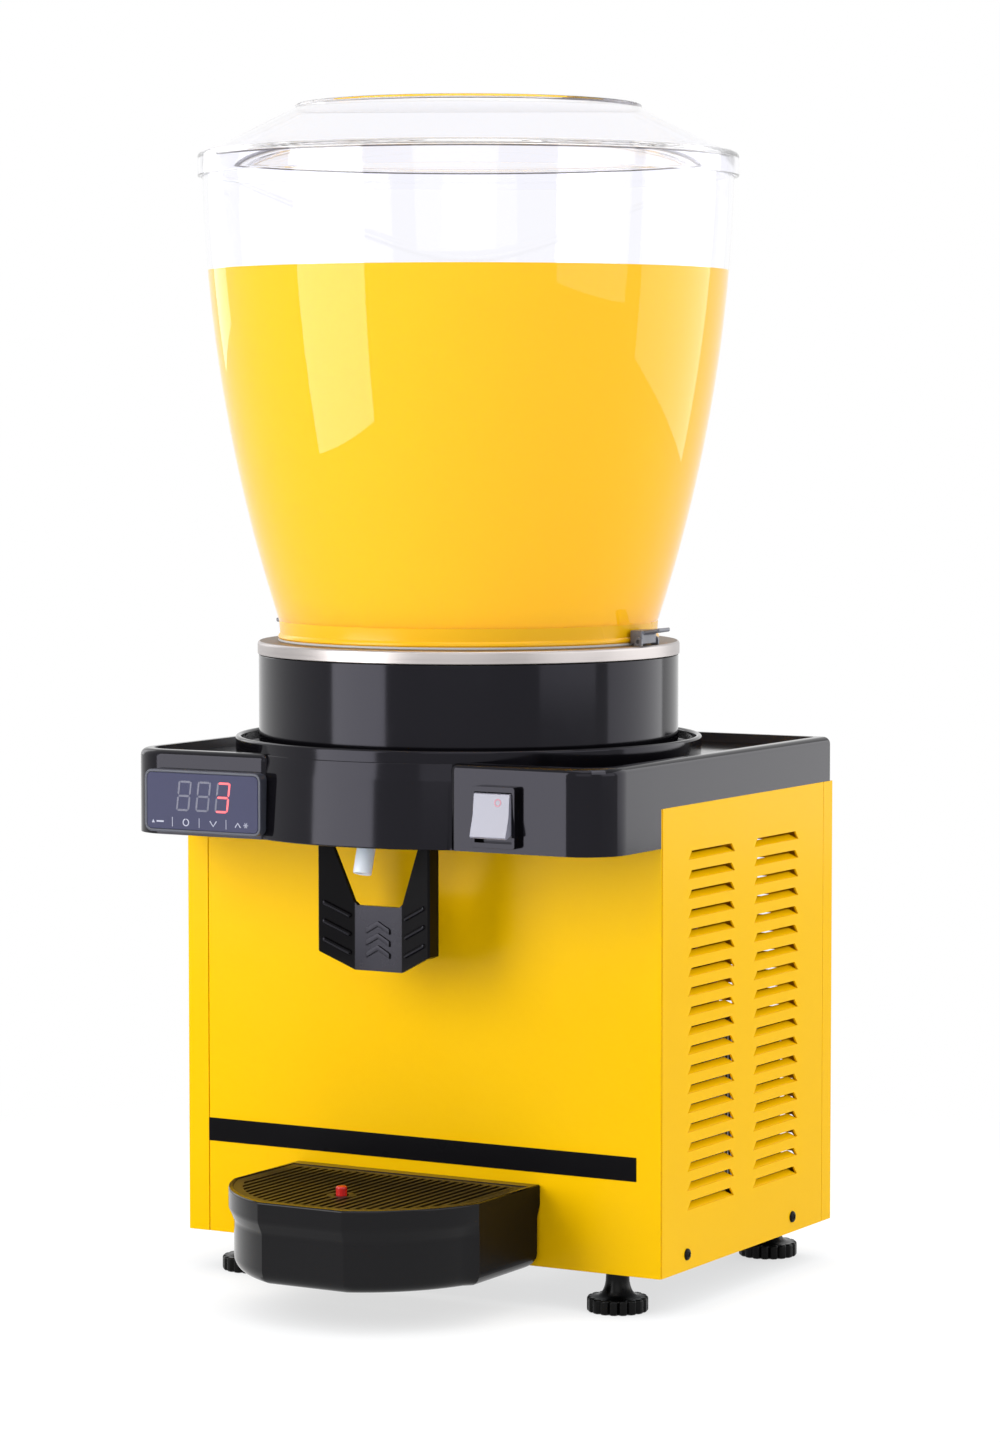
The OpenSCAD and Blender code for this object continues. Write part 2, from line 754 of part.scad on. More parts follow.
module clip() {
    tab = 9;
    tab_t = 2;
    low = rim_z + 0.6;
    high = rim_z + 8.2;
    difference() {
        union() {
            translate([clip_in, axis_y - clip_len / 2, low]) cube([clip_w, clip_len, high - low]);
            translate([clip_in + clip_w - 1, axis_y - clip_len / 2 + 2, high - tab_t])
                cube([tab + 1, clip_len - 4, tab_t]);
        }
        translate([clip_x, axis_y, clip_z]) along_y(clip_pin_r + fit, 2 * clip_len);
    }
}

module clip_right() color(grey) clip();
module clip_left() color(grey) mirror([1, 0, 0]) clip();

// Tap

tip_y = front_y - spout_reach;
tip_z = skirt_z - spout_drop;
tube_len = (pan_floor - pan_t - 3 - tip_z) / cos(tube_lean);
pin_y = front_y - push_reach + 1;
pin_z = skirt_z + 10;
bar_r = 2.5;
bar_up = 38;
bar_out = tube_d / 2 + gap + bar_r;
bar_y = tip_y + bar_up * sin(tube_lean) - bar_out * cos(tube_lean);
bar_z = tip_z + bar_up * cos(tube_lean) + bar_out * sin(tube_lean);

module at_tube() translate([0, tip_y, tip_z]) rotate([-tube_lean, 0, 0]) children();

module outlet_tube() color([0.95, 0.95, 0.95]) at_tube() ring(tube_d / 2, tube_bore / 2, tube_len);

arm_in = lever_w / 2 - 8;
arm_out = lever_w / 2 - 0.5;
ear_in = lever_w / 2 + 2.5;
ear_t = 3;

module tap_bracket() color(matt_black) {
    top = plate_z - plate_t;
    base_t = 2.5;
    front = pin_y - 21;
    difference() {
        union() {
            translate([-ear_in - ear_t, front, top - base_t]) cube([2 * (ear_in + ear_t), 34, base_t]);
            mirrored_x() {
                translate([ear_in, pin_y - 7, pin_z]) cube([ear_t, 14, top - pin_z]);
                translate([ear_in + ear_t / 2, pin_y, pin_z]) along_x(7, ear_t);
            }
            at_tube() translate([-12, tube_d / 2 + gap, bar_up - 5]) cube([24, 3, 19]);
            translate([spring_x - 2, pin_y - 2, pin_z + 8]) cube([4, 2 + spring_back, top - pin_z - 8]);
        }
        at_tube() cylinder(r = tube_d / 2 + 0.2, h = 2 * tube_len);
        translate([0, pin_y, pin_z]) along_x(pin_d / 2 + fit, 2 * tap_half + 4);
        translate([-tap_half, front - 1, top]) cube([2 * tap_half, 60, 20]);
    }
}

module lever_pin() color(steel) translate([0, pin_y, pin_z]) along_x(pin_d / 2, 2 * (ear_in + ear_t));

rib_r = 1.4;
wing_rise = 10;

module lever_plan() {
    half = lever_w / 2;
    push = push_w / 2;
    y0 = front_y - push_reach;
    y1 = y0 - wing_sweep;
    polygon([[-half, y1 + lever_depth], [-half, y1 + 1], [-half + 1, y1], [-push, y0], [push, y0],
        [half - 1, y1],
        [half, y1 + 1], [half, y1 + lever_depth], [half - lever_wall, y1 + lever_depth],
        [half - lever_wall, y1 + lever_wall],
        [push - 0.6, y0 + lever_wall], [-push + 0.6, y0 + lever_wall], [-half + lever_wall, y1 + lever_wall],
        [-half + lever_wall, y1 + lever_depth]]);
}

// Front outline of the lever with its window, drawn as x and z
module lever_face() {
    half = lever_w / 2;
    low = skirt_z - lever_drop;
    top = pin_z - 4;
    sill = low + 35;
    difference() {
        polygon([[-half, top], [-half, low + wing_rise], [-push_w / 2, low], [push_w / 2, low],
            [half, low + wing_rise],
            [half, top]]);
        polygon([[-arm_in - 2, top + 1], [-arm_in, skirt_z - 2], [-push_w / 2 - 0.6, sill + 2],
            [-push_w / 2 + 1.6, sill],
            [push_w / 2 - 1.6, sill], [push_w / 2 + 0.6, sill + 2], [arm_in, skirt_z - 2],
            [arm_in + 2, top + 1]]);
    }
}

module wing_rib(z) {
    push = push_w / 2;
    half = lever_w / 2;
    slope = wing_rise / (half - push);
    start = [push + 3, front_y - push_reach - wing_sweep * 3 / (half - push), z + 3 * slope];
    end = [half - 4, front_y - push_reach - wing_sweep * (half - 4 - push) / (half - push),
        z + (half - 4 - push) * slope];
    run = end - start;
    translate(start) rotate([0, acos(run[2] / norm(run)), atan2(run[1], run[0])])
        cylinder(r = rib_r, h = norm(run), $fn = 24);
    translate(start) sphere(rib_r, $fn = 24);
    translate(end) sphere(rib_r, $fn = 24);
}

module tap_lever() color(matt_black) {
    low = skirt_z - lever_drop;
    boss_r = pin_d / 2 + 3;
    arm = arm_out - arm_in - 2;
    run = [bar_y - pin_y, bar_z - pin_z];
    difference() {
        union() {
            intersection() {
                translate([0, 0, low - 1]) linear_extrude(pin_z - low) lever_plan();
                translate([0, front_y, 0]) rotate([90, 0, 0]) linear_extrude(2 * push_reach) lever_face();
            }
            mirrored_x() {
                for (z = [8, 18, 28]) wing_rib(low + z);
                translate([(arm_in + arm_out) / 2 + 1, pin_y, pin_z]) {
                    along_x(boss_r, arm);
                    rotate([atan2(run[1], run[0]) - 90, 0, 0]) translate([-arm / 2, -boss_r + 1.5, 0])
                        cube([arm, 2 * boss_r - 3, norm(run)]);
                    translate([-arm / 2, -boss_r, -9]) cube([arm, 2 * boss_r, 9]);
                }
            }
            translate([0, bar_y, bar_z]) along_x(bar_r, 2 * arm_out - 0.6);
            translate([spring_end - 2, pin_y - 2, pin_z - 11])
                cube([arm_in + 3 - spring_end + 2, 2 + spring_back, 5]);
        }
        translate([0, pin_y, pin_z]) along_x(pin_d / 2 + fit, 2 * lever_w);
    }
}

spring_wire = 1.2;
spring_r = pin_d / 2 + 0.5 + spring_wire / 2;
spring_turns = 5;
spring_x = 16;
spring_leg = 13;
spring_pitch = spring_wire + 0.5;
spring_end = spring_x + spring_turns * spring_pitch;
spring_back = spring_r - spring_wire / 2 - gap;
spring_path = concat(
    [[spring_x, pin_y + spring_r, pin_z + spring_leg]],
    [for (a = [0:30:360 * spring_turns])
        [spring_x + a / 360 * spring_pitch, pin_y + spring_r * cos(a), pin_z - spring_r * sin(a)]],
    [[spring_end, pin_y + spring_r, pin_z - spring_leg]]);

module lever_spring() color(steel) tube_along(spring_path, spring_wire / 2, 6);

// Controls

module rounded_box(size, r) {
    x = size[0] / 2 - r;
    z = size[2] / 2 - r;
    rotate([90, 0, 0]) linear_extrude(size[1]) {
        square([2 * x, size[2]], center = true);
        square([size[0], 2 * z], center = true);
        for (i = [-1, 1], j = [-1, 1]) translate([i * x, j * z]) circle(r);
    }
}

window_t = 1.2;

module controller_case() color(matt_black) {
    depth = 42;
    translate([-control_x, ear_y, control_z]) difference() {
        union() {
            rounded_box([control_w, control_out, control_h], 4);
            translate([0, depth, 0]) rounded_box([controller_case_w, depth, controller_case_h], 1);
        }
        translate([0, window_t - control_out, 0])
            rounded_box([control_w - 4, 2 * window_t, control_h - 4], 3);
    }
}

module controller_window() color([0.15, 0.16, 0.22]) {
    translate([-control_x, ear_y - control_out + window_t, control_z])
        rounded_box([control_w - 4 - 2 * fit, window_t, control_h - 4 - 2 * fit], 3);
}

rocker_w = switch_w - 4.1;
rocker_r = 13;
rocker_tilt = 12;
pivot_y = ear_y - 2.4;
trunnion_r = 1.8;

module at_switch() translate([switch_x, pivot_y, control_z]) children();

module switch_frame() color(gloss_black) {
    depth = 24;
    wide = rocker_w + 2 * gap;
    high = 2 * rocker_r + 2 * gap;
    difference() {
        union() {
            translate([switch_x, ear_y, control_z]) rounded_box([switch_w, switch_out, switch_h], 1.5);
            translate([switch_x, ear_y + depth, control_z])
                rounded_box([switch_case_w + 2 * fit, depth, switch_case_h], 0.5);
        }
        at_switch() cube([wide, 2 * rocker_r + 1.4, high], center = true);
        at_switch() along_x(trunnion_r + fit, rocker_w + 2.4);
    }
}

module switch_rocker() color([0.82, 0.82, 0.84]) {
    face = 6.5;
    dish = 1.2;
    at_switch() {
        rotate([-rocker_tilt, 0, 0]) rotate([90, 0, 90])
            linear_extrude(rocker_w, center = true) intersection() {
            circle(rocker_r);
            polygon([[-face, -rocker_r], [dish - face, 0], [-face, rocker_r], [4, rocker_r / 2],
                [4, -rocker_r / 2]]);
        }
        along_x(trunnion_r, rocker_w + 2);
    }
}

// Drip tray

tray_top = base_z + tray_h;
hook_space = 7;
lip_t = 2;
tray_shoulder = 3;
tray_cove = 6.5;
tray_back = hook_space + tray_wall;
tray_gap = stripe_t + gap;
grid_t = 3.6;
tray_centre = arc_centre([tray_front / 2, -tray_reach], [tray_w / 2, -tray_side], tray_curve);
level_y = -79;

// Outline of the tray seen from above, the front panel at y = 0
module tray_plan(inset, back) {
    half = tray_w / 2 - inset;
    intersection() {
        translate([-half, -tray_reach + inset]) square([2 * half, tray_reach - inset - back]);
        union() {
            intersection() {
                translate(tray_centre) circle(tray_curve - inset, $fn = 120);
                translate([-tray_centre[0], tray_centre[1]]) circle(tray_curve - inset, $fn = 120);
            }
            translate([-half, tray_centre[1]]) square([2 * half, -tray_centre[1]]);
        }
    }
}

// Body whose lower edge is rounded
module tray_body(inset, back, low, high, r) {
    hull() {
        for (a = [0:22.5:90]) translate([0, 0, low + r * (1 - sin(a))]) linear_extrude(0.01)
            tray_plan(inset + r * (1 - cos(a)), back + r * (1 - cos(a)));
        translate([0, 0, high - 0.01]) linear_extrude(0.01) tray_plan(inset, back);
    }
}

module drip_tray() color(gloss_black) {
    band_z = tray_top - tray_band;
    ledge = tray_top - grid_t - 0.4;
    pocket = tray_w - 14;
    translate([0, front_y, 0]) difference() {
        union() {
            tray_body(tray_shoulder, tray_gap, base_z, band_z - tray_cove + 1, tray_round);
            hull() {
                translate([0, 0, band_z]) linear_extrude(tray_band) tray_plan(0, tray_gap);
                translate([0, 0, band_z - tray_cove]) linear_extrude(0.01) tray_plan(tray_shoulder, tray_gap);
            }
        }
        tray_body(tray_shoulder + tray_wall, tray_back, base_z + tray_wall, ledge + 1,
            tray_round - tray_wall);
        translate([0, 0, ledge]) linear_extrude(tray_h) tray_plan(tray_wall, tray_back);
        translate([-pocket / 2, -hook_space, base_z - 1])
            cube([pocket, hook_space - tray_gap - lip_t, tray_h - 4]);
        translate([-pocket / 2, -hook_space, base_z - 1]) cube([pocket, hook_space + 1, tray_h - 12]);
    }
    translate([0, front_y + level_y, base_z + 1]) cylinder(r = 2, h = 10);
}

module tray_hook() color(steel) {
    t = 1.5;
    top = tray_top - 5 - gap;
    low = base_z + 10;
    shelf = top - 15;
    for (x = [-1, 1]) translate([x * 40 - 15, front_y, 0]) {
        translate([0, -t, low]) cube([30, t, shelf - low]);
        translate([0, -hook_space + 2, shelf - t]) cube([30, hook_space - 2, t]);
        translate([0, -hook_space + 2, shelf - t]) cube([30, t, top - shelf + t]);
    }
}

module tray_grid() color(matt_black) {
    edge = tray_wall + gap;
    frame = 5;
    bars = floor(tray_w / 2 / bar_pitch);
    translate([0, front_y, tray_top - grid_t - 0.4]) linear_extrude(grid_t) difference() {
        tray_plan(edge, tray_back + gap);
        difference() {
            intersection() {
                tray_plan(edge + frame, tray_back + gap + frame);
                for (i = [-bars:bars]) translate([(i + 0.5) * bar_pitch - slot_w / 2, -tray_reach])
                    square([slot_w, tray_reach]);
            }
            translate([0, level_y]) circle(level_d / 2 + 5);
        }
        translate([0, level_y]) circle(level_d / 2 + 1.2);
    }
}

module level_float() color([0.85, 0.1, 0.1]) {
    low = base_z + tray_wall + gap;
    top = tray_top + 4.5;
    round_r = 1;
    translate([0, front_y + level_y, 0]) difference() {
        union() {
            translate([0, 0, low]) cylinder(r = level_d / 2 + 6, h = 12);
            translate([0, 0, low]) cylinder(r = level_d / 2, h = top - low - round_r);
            translate([0, 0, top - round_r])
                cylinder(r1 = level_d / 2, r2 = level_d / 2 - round_r, h = round_r);
        }
        translate([0, 0, low - 1]) cylinder(r = 2 + fit, h = 13);
    }
}

// Cooling unit

pump_x = -half_w + 88;
pump_y = mid_y + 6;
pump_r = 60;
mount_h = 12;
pump_z = floor_z + mount_h;
pump_top = pump_z + 121;
out_port = [pump_x + 20, pump_y + 20, pump_top + 4];
in_port = [pump_x, pump_y - 18, pump_top + 4];

module at_pump_mounts() {
    for (x = [-1, 1], y = [-1, 1]) translate([pump_x + x * 58, pump_y + y * 48, floor_z]) children();
}

module compressor() color(matt_black) {
    can_h = 118;
    dome = 26;
    plate = 3;
    difference() {
        union() {
            translate([pump_x, pump_y, pump_z + plate]) rotate_extrude() polygon(concat(
                [[0, 0], [pump_r - 14, 0], [pump_r - 4, 5], [pump_r, 14], [pump_r, 52],
                [pump_r + 4, 52], [pump_r + 4, 57],
                    [pump_r, 57], [pump_r, can_h - dome]],
                [for (a = [15:15:90]) [pump_r * cos(a), can_h - dome + dome * sin(a)]]));
            translate([pump_x - 66, pump_y - 56, pump_z]) cube([132, 112, plate]);
            translate([pump_x, pump_y - pump_r - 9, pump_z + 40]) cube([44, 30, 36], center = true);
            for (p = [out_port, in_port]) translate(p - [0, 0, 20]) cylinder(r = line_r + 1, h = 20);
        }
        at_pump_mounts() cylinder(r = 5.3, h = 2 * mount_h);
    }
}

module pump_mounts() color([0.1, 0.1, 0.1]) {
    at_pump_mounts() {
        cylinder(r = 9, h = mount_h);
        cylinder(r = 5, h = mount_h + 6);
    }
}

fan_y = mid_y + 2;
fan_z = base_z + 68;
fan_r = 52;
core_x = half_w - 54;
core_w = 40;
core_d = 130;
core_h = 118;
shroud_t = 10;

module condenser() color([0.72, 0.73, 0.75]) {
    fins = 32;
    fin_t = 1.4;
    fin_pitch = core_d / fins;
    spine = 6;
    translate([core_x, fan_y - core_d / 2, floor_z]) linear_extrude(core_h) {
        translate([(core_w - spine) / 2, 0]) square([spine, core_d]);
        for (i = [0:fins]) translate([0, i * (core_d - fin_t) / fins]) square([core_w, fin_t]);
    }
}

module fan_shroud() color(matt_black) {
    translate([core_x - shroud_t, fan_y, fan_z]) rotate([90, 0, 90]) linear_extrude(shroud_t) difference() {
        translate([-core_d / 2, floor_z - fan_z]) square([core_d, core_h]);
        circle(fan_r + 3);
    }
}

fan_x = core_x - 14;
fan_shaft_r = 3;
fan_motor_r = 22;

module fan_motor() color(grey) {
    start = fan_x - 46;
    translate([0, fan_y, fan_z]) {
        translate([start + 17, 0, 0]) along_x(fan_motor_r, 34);
        translate([fan_x - 8, 0, 0]) along_x(fan_shaft_r, 20);
    }
    translate([start + 4, fan_y - 16, floor_z]) cube([24, 32, 3]);
    translate([start + 12, fan_y - 16, floor_z]) cube([4, 32, fan_z - floor_z - 10]);
}

module fan_blade() color([0.2, 0.2, 0.22]) {
    blades = 5;
    pitch = 30;
    hub = 13;
    difference() {
        translate([fan_x, fan_y, fan_z]) rotate([0, 90, 0]) {
            translate([0, 0, -8]) cylinder(r = hub, h = 16);
            intersection() {
                translate([0, 0, -10]) cylinder(r = fan_r, h = 20);
                for (i = [0:blades - 1]) rotate(360 * i / blades)
                    translate([hub - 2, 0, 0]) rotate([pitch, 0, 0])
                    translate([0, -15, -0.75]) cube([fan_r, 30, 1.5]);
            }
        }
        translate([fan_x, fan_y, fan_z]) along_x(fan_shaft_r + fit, 60);
    }
}

line_r = 3;
dryer_x = core_x - 22;
dryer_y = rear_y - 22;
dryer_r = 9;
dryer_len = 80;
dryer_z = floor_z + 46;

module filter_dryer() color(copper) {
    translate([dryer_x, dryer_y, dryer_z]) rotate_extrude() polygon([
        [0, 0], [line_r, 0], [line_r, 6], [dryer_r, 14], [dryer_r, dryer_len - 14], [line_r, dryer_len - 6],
        [line_r, dryer_len], [0, dryer_len]]);
}

module discharge_line() color(copper) {
    tube_along(route([
        out_port, out_port + [0, 0, 14],
        [core_x + core_w / 2, fan_y + 20, pump_top + 18],
        [core_x + core_w / 2, fan_y + 20, floor_z + core_h]], 9), line_r);
}

module liquid_line() color(copper) {
    low = floor_z + 20;
    out = fan_y + core_d / 2;
    tube_along(route([
        [core_x + core_w / 2, out, low], [core_x + core_w / 2, out + 14, low],
        [dryer_x, dryer_y, low], [dryer_x, dryer_y, dryer_z]], 6), line_r);
}

module suction_line() color(copper) {
    start = [0, axis_y + coil_r, coil_z];
    low = pump_top + 40;
    tube_along(route([
        start + [0.5, 0, 0], start + [line_x, 0, 0], [line_x, start[1], low],
            [in_port[0], in_port[1], low], in_port], 6), coil_d / 2);
}

module capillary_line() color(copper) {
    start = coil_path[len(coil_path) - 1];
    low = pump_top + 52;
    over = collar_top + 2.5;
    tube_along(route([
        start + [-1, 0, 0], start + [-7, 0, 0], [-7, start[1], over], [-line_x, start[1] + line_out, over],
        [-line_x, start[1] + line_out, low], [dryer_x, dryer_y, low],
        [dryer_x, dryer_y, dryer_z + dryer_len]], 2.4), 1.3);
}

module control_box() color([0.85, 0.85, 0.82]) {
    wide = 34;
    deep = 70;
    high = 56;
    wall = 2;
    grommet_r = 4;
    translate([-half_w + sheet, front_y + 14, panel_top - high - 32]) difference() {
        cube([wide, deep, high]);
        translate([wall, wall, wall]) cube([wide - 2.5 * wall, deep - 2 * wall, high - 2 * wall]);
        translate([wide, deep / 2, high / 2]) along_x(grommet_r, 6 * wall);
    }
}

base_pan();
wrap_panel();
front_panel();
side_panel();
front_stripe();
panel_screws();
cable_gland();
foot_front_left();
foot_front_right();
foot_rear_left();
foot_rear_right();
foot_nuts();
top_cover();
front_soffit();
deck_plate();
collar();
evaporator_pan();
pan_insulation();
cooling_coil();
magnet_drive();
stir_motor();
paddle();
bowl();
bowl_seal();
lid();
clip_left();
clip_right();
clip_pins();
outlet_tube();
tap_bracket();
tap_lever();
lever_pin();
lever_spring();
controller_case();
controller_window();
switch_frame();
switch_rocker();
drip_tray();
tray_grid();
level_float();
tray_hook();
compressor();
pump_mounts();
condenser();
fan_shroud();
fan_motor();
fan_blade();
filter_dryer();
discharge_line();
liquid_line();
suction_line();
capillary_line();
control_box();
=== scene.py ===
import math

import bmesh
import bpy
from mathutils import Matrix, Vector


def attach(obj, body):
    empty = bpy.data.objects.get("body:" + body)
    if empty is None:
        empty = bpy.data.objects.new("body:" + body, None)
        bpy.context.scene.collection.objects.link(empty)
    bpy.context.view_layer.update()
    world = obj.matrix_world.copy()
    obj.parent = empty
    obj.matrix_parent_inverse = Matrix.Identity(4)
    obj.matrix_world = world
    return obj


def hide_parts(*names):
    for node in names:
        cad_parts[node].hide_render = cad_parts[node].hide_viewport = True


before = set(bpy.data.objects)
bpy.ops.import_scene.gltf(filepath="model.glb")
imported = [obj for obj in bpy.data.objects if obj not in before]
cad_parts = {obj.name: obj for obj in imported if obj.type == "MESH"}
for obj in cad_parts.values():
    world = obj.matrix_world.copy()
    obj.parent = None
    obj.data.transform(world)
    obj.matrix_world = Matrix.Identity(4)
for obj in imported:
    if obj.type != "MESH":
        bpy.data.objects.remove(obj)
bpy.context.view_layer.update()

ops = bpy.ops
mm = 0.001
axisY = 7.5  # bowl axis
earY = -111.0  # front of the two ears
panelY = -48.0  # front panel
print("frame loaded")

# Camera at the photo's angle
cameraPlace = {"at": (1.2345, -2.1089, 0.4852), "tilt": 85.93, "turn": 29.85, "lens": 110.7}
ops.object.select_all(action="DESELECT")
ops.object.camera_add(location=cameraPlace["at"],
                      rotation=(math.radians(cameraPlace["tilt"]), 0, math.radians(cameraPlace["turn"])))
camera = bpy.context.object
camera.name = "photoCamera"
camera.data.lens = cameraPlace["lens"]
camera.data.clip_end = 50
camera.data.dof.use_dof = False
scene = bpy.context.scene
scene.camera = camera
scene.view_settings.view_transform = "Standard"
bounces = {"max_bounces": 40, "glossy_bounces": 24, "transmission_bounces": 40}  # for the stacked clear walls
for name, count in bounces.items():
    setattr(scene.cycles, name, count)


# Modelling helpers

def objectMode():
    if bpy.context.object and bpy.context.object.mode != "OBJECT":
        ops.object.mode_set(mode="OBJECT")


def pickOnly(*pieces):
    objectMode()
    ops.object.select_all(action="DESELECT")
    for piece in pieces:
        piece.select_set(True)
    bpy.context.view_layer.objects.active = pieces[0]


def editMode(piece, kind="VERT"):
    pickOnly(piece)
    ops.object.mode_set(mode="EDIT")
    ops.mesh.select_mode(type=kind)


def pickParts(kind, parts, test):
    ops.mesh.select_mode(type=kind)
    ops.mesh.select_all(action="DESELECT")
    data = bpy.context.object.data
    shape = bmesh.from_edit_mesh(data)
    for part in getattr(shape, parts):
        part.select_set(bool(test(part)))
    bmesh.update_edit_mesh(data)


def pickFaces(test):
    pickParts("FACE", "faces", lambda face: test(face.calc_center_median() / mm, face.normal))


def pickEdges(test):
    pickParts("EDGE", "edges", lambda edge: test(edge.verts[0].co / mm, edge.verts[1].co / mm))


def pickPoints(test):
    pickParts("VERT", "verts", lambda point: test(point.co / mm))


def growFaces(x, y, z):
    ops.mesh.extrude_region_move(TRANSFORM_OT_translate={"value": (x * mm, y * mm, z * mm)})


def roundCorners(corners, steps=5):
    points = []
    for i, (u, v, r) in enumerate(corners):
        here = Vector((u, v))
        if r <= 0:
            points.append(here)
            continue
        back = Vector(corners[i - 1][:2]) - here
        ahead = Vector(corners[(i + 1) % len(corners)][:2]) - here
        half = back.angle(ahead) / 2
        reach = min(r / math.tan(half), 0.49 * back.length, 0.49 * ahead.length)
        size = reach * math.tan(half)
        middle = here + (back.normalized() + ahead.normalized()).normalized() * size / math.sin(half)
        first = (here + back.normalized() * reach - middle).normalized()
        last = (here + ahead.normalized() * reach - middle).normalized()
        for k in range(steps + 1):
            points.append(middle + first.slerp(last, k / steps) * size)
    return points


def arcPoints(centre, r, start, end, steps):
    points = []
    for k in range(steps + 1):
        a = math.radians(start + (end - start) * k / steps)
        points.append(Vector((centre[0] + r * math.cos(a), centre[1] + r * math.sin(a))))
    return points


def drawOutline(name, points):
    objectMode()
    ops.object.select_all(action="DESELECT")
    ops.mesh.primitive_plane_add(size=mm, location=(0, 0, 0))
    piece = bpy.context.object
    piece.name = piece.data.name = name
    ops.object.mode_set(mode="EDIT")
    ops.mesh.select_mode(type="VERT")
    ops.mesh.select_all(action="SELECT")
    ops.mesh.merge(type="CENTER")
    here = Vector(points[0]) * mm
    ops.transform.translate(value=here)
    for point in points[1:]:
        there = Vector(point) * mm
        ops.mesh.extrude_vertices_move(TRANSFORM_OT_translate={"value": there - here})
        here = there
    shape = bmesh.from_edit_mesh(piece.data)
    shape.verts.ensure_lookup_table()
    ops.mesh.select_all(action="DESELECT")
    shape.verts[0].select_set(True)
    shape.verts[-1].select_set(True)
    bmesh.update_edit_mesh(piece.data)
    ops.mesh.edge_face_add()
    ops.mesh.select_all(action="SELECT")
    return piece


def mergeDoubles(recalculate=True):
    ops.mesh.select_mode(type="VERT")
    ops.mesh.select_all(action="SELECT")
    ops.mesh.remove_doubles(threshold=0.002 * mm)
    if recalculate:
        ops.mesh.normals_make_consistent(inside=False)


def smooth(piece, angle=32):
    pickOnly(piece)
    ops.object.shade_smooth_by_angle(angle=math.radians(angle))
    level = piece.modifiers.new("level", "WEIGHTED_NORMAL")  # flat faces stay flat beside small rounds
    level.keep_sharp = True
    ops.object.modifier_apply(modifier=level.name)


# A closed outline of radius and height, turned about an upright axis
def turnProfile(name, profile, steps=128, about=(0, axisY), angle=360, start=0):
    along, aside = math.cos(math.radians(start)), math.sin(math.radians(start))
    piece = drawOutline(name, [(about[0] + p[0] * along, about[1] + p[0] * aside, p[1]) for p in profile])
    centre = (about[0] * mm, about[1] * mm, 0)
    ops.mesh.spin(steps=steps, angle=-math.radians(angle), center=centre, axis=(0, 0, 1))
    mergeDoubles(False)
    if angle < 360:
        ops.mesh.fill_holes(sides=0)
    mergeDoubles()
    smooth(piece)
    return piece


# A closed outline in plan stood up from one height to another
def standOutline(name, outline, low, high):
    piece = drawOutline(name, [(p[0], p[1], low) for p in outline])
    ops.mesh.edge_face_add()
    growFaces(0, 0, high - low)
    mergeDoubles()
    objectMode()
    return piece


# A closed outline in x and z pushed forward from one y to another
def pushOutline(name, outline, back, front):
    piece = drawOutline(name, [(p[0], back, p[1]) for p in outline])
    ops.mesh.edge_face_add()
    growFaces(0, front - back, 0)
    mergeDoubles()
    objectMode()
    return piece


def addBox(name, low, high):
    objectMode()
    ops.object.select_all(action="DESELECT")
    middle = (Vector(low) + Vector(high)) / 2 * mm
    ops.mesh.primitive_cube_add(size=1, location=middle)
    piece = bpy.context.object
    piece.name = piece.data.name = name
    piece.scale = (Vector(high) - Vector(low)) * mm
    ops.object.transform_apply(location=True, rotation=True, scale=True)
    return piece


def cutAway(piece, *cutters):
    for cutter in cutters:
        pickOnly(piece)
        cut = piece.modifiers.new("cut", "BOOLEAN")
        cut.operation = "DIFFERENCE"
        cut.solver = "EXACT"
        cut.object = cutter
        ops.object.modifier_apply(modifier=cut.name)
        pickOnly(cutter)
        ops.object.delete()
    pickOnly(piece)


def settle(piece, at, turned):
    pickOnly(piece)
    piece.matrix_world = Matrix.Translation(Vector(at) * mm) @ turned
    ops.object.transform_apply(location=True, rotation=True, scale=True)


def joinInto(piece, *others):
    pickOnly(piece, *others)
    ops.object.join()
    return piece


def joinAs(name, pieces):
    piece = joinInto(*pieces)
    piece.name = name
    return piece


def softenEdges(piece, width, segments=2, limit=30, angle=32):
    pickOnly(piece)
    bevel = piece.modifiers.new("soften", "BEVEL")
    bevel.width = width * mm
    bevel.segments = segments
    bevel.limit_method = "ANGLE"
    bevel.angle_limit = math.radians(limit)
    ops.object.modifier_apply(modifier=bevel.name)
    smooth(piece, angle)
    return piece


def secondFinish(piece, material, test):
    piece.data.materials.append(material)
    for face in piece.data.polygons:
        if test(face.center / mm, face.normal):
            face.material_index = len(piece.data.materials) - 1


# A CAD node's own shape with eased edges
def easedCopy(node, name, width, segments=2, limit=30, angle=32, press=None):
    piece = bpy.data.objects.new(name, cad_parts[node].data.copy())
    piece.data.name = name
    piece.data.materials.clear()
    scene.collection.objects.link(piece)
    editMode(piece)
    ops.mesh.customdata_custom_splitnormals_clear()
    mergeDoubles(False)
    ops.mesh.dissolve_limited(angle_limit=math.radians(0.8))
    if press:
        inside, ys, zs, move = press
        pickPoints(lambda p: p.x < inside and ys[0] < p.y < ys[1] and zs[0] < p.z < zs[1])
        ops.transform.translate(value=Vector(move) * mm)
    objectMode()
    return softenEdges(piece, width, segments, limit, angle)


def place(piece, body, slot, material, *nodes):
    objectMode()
    piece.data.materials.clear()
    piece.data.materials.append(material)
    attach(piece, body)
    if nodes:
        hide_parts(*nodes)


# Shared surface effects

def newGroup(name, inputs, outputs):
    group = bpy.data.node_groups.new(name, "ShaderNodeTree")
    for label, value in inputs:
        group.interface.new_socket(label, in_out="INPUT", socket_type="NodeSocketFloat").default_value = value
    for label, kind in outputs:
        group.interface.new_socket(label, in_out="OUTPUT", socket_type=kind)
    nodes = group.nodes
    return group, nodes, group.links, nodes.new("NodeGroupInput"), nodes.new("NodeGroupOutput")


def wire(links, *pairs):
    for source, target in pairs:
        links.new(source, target)


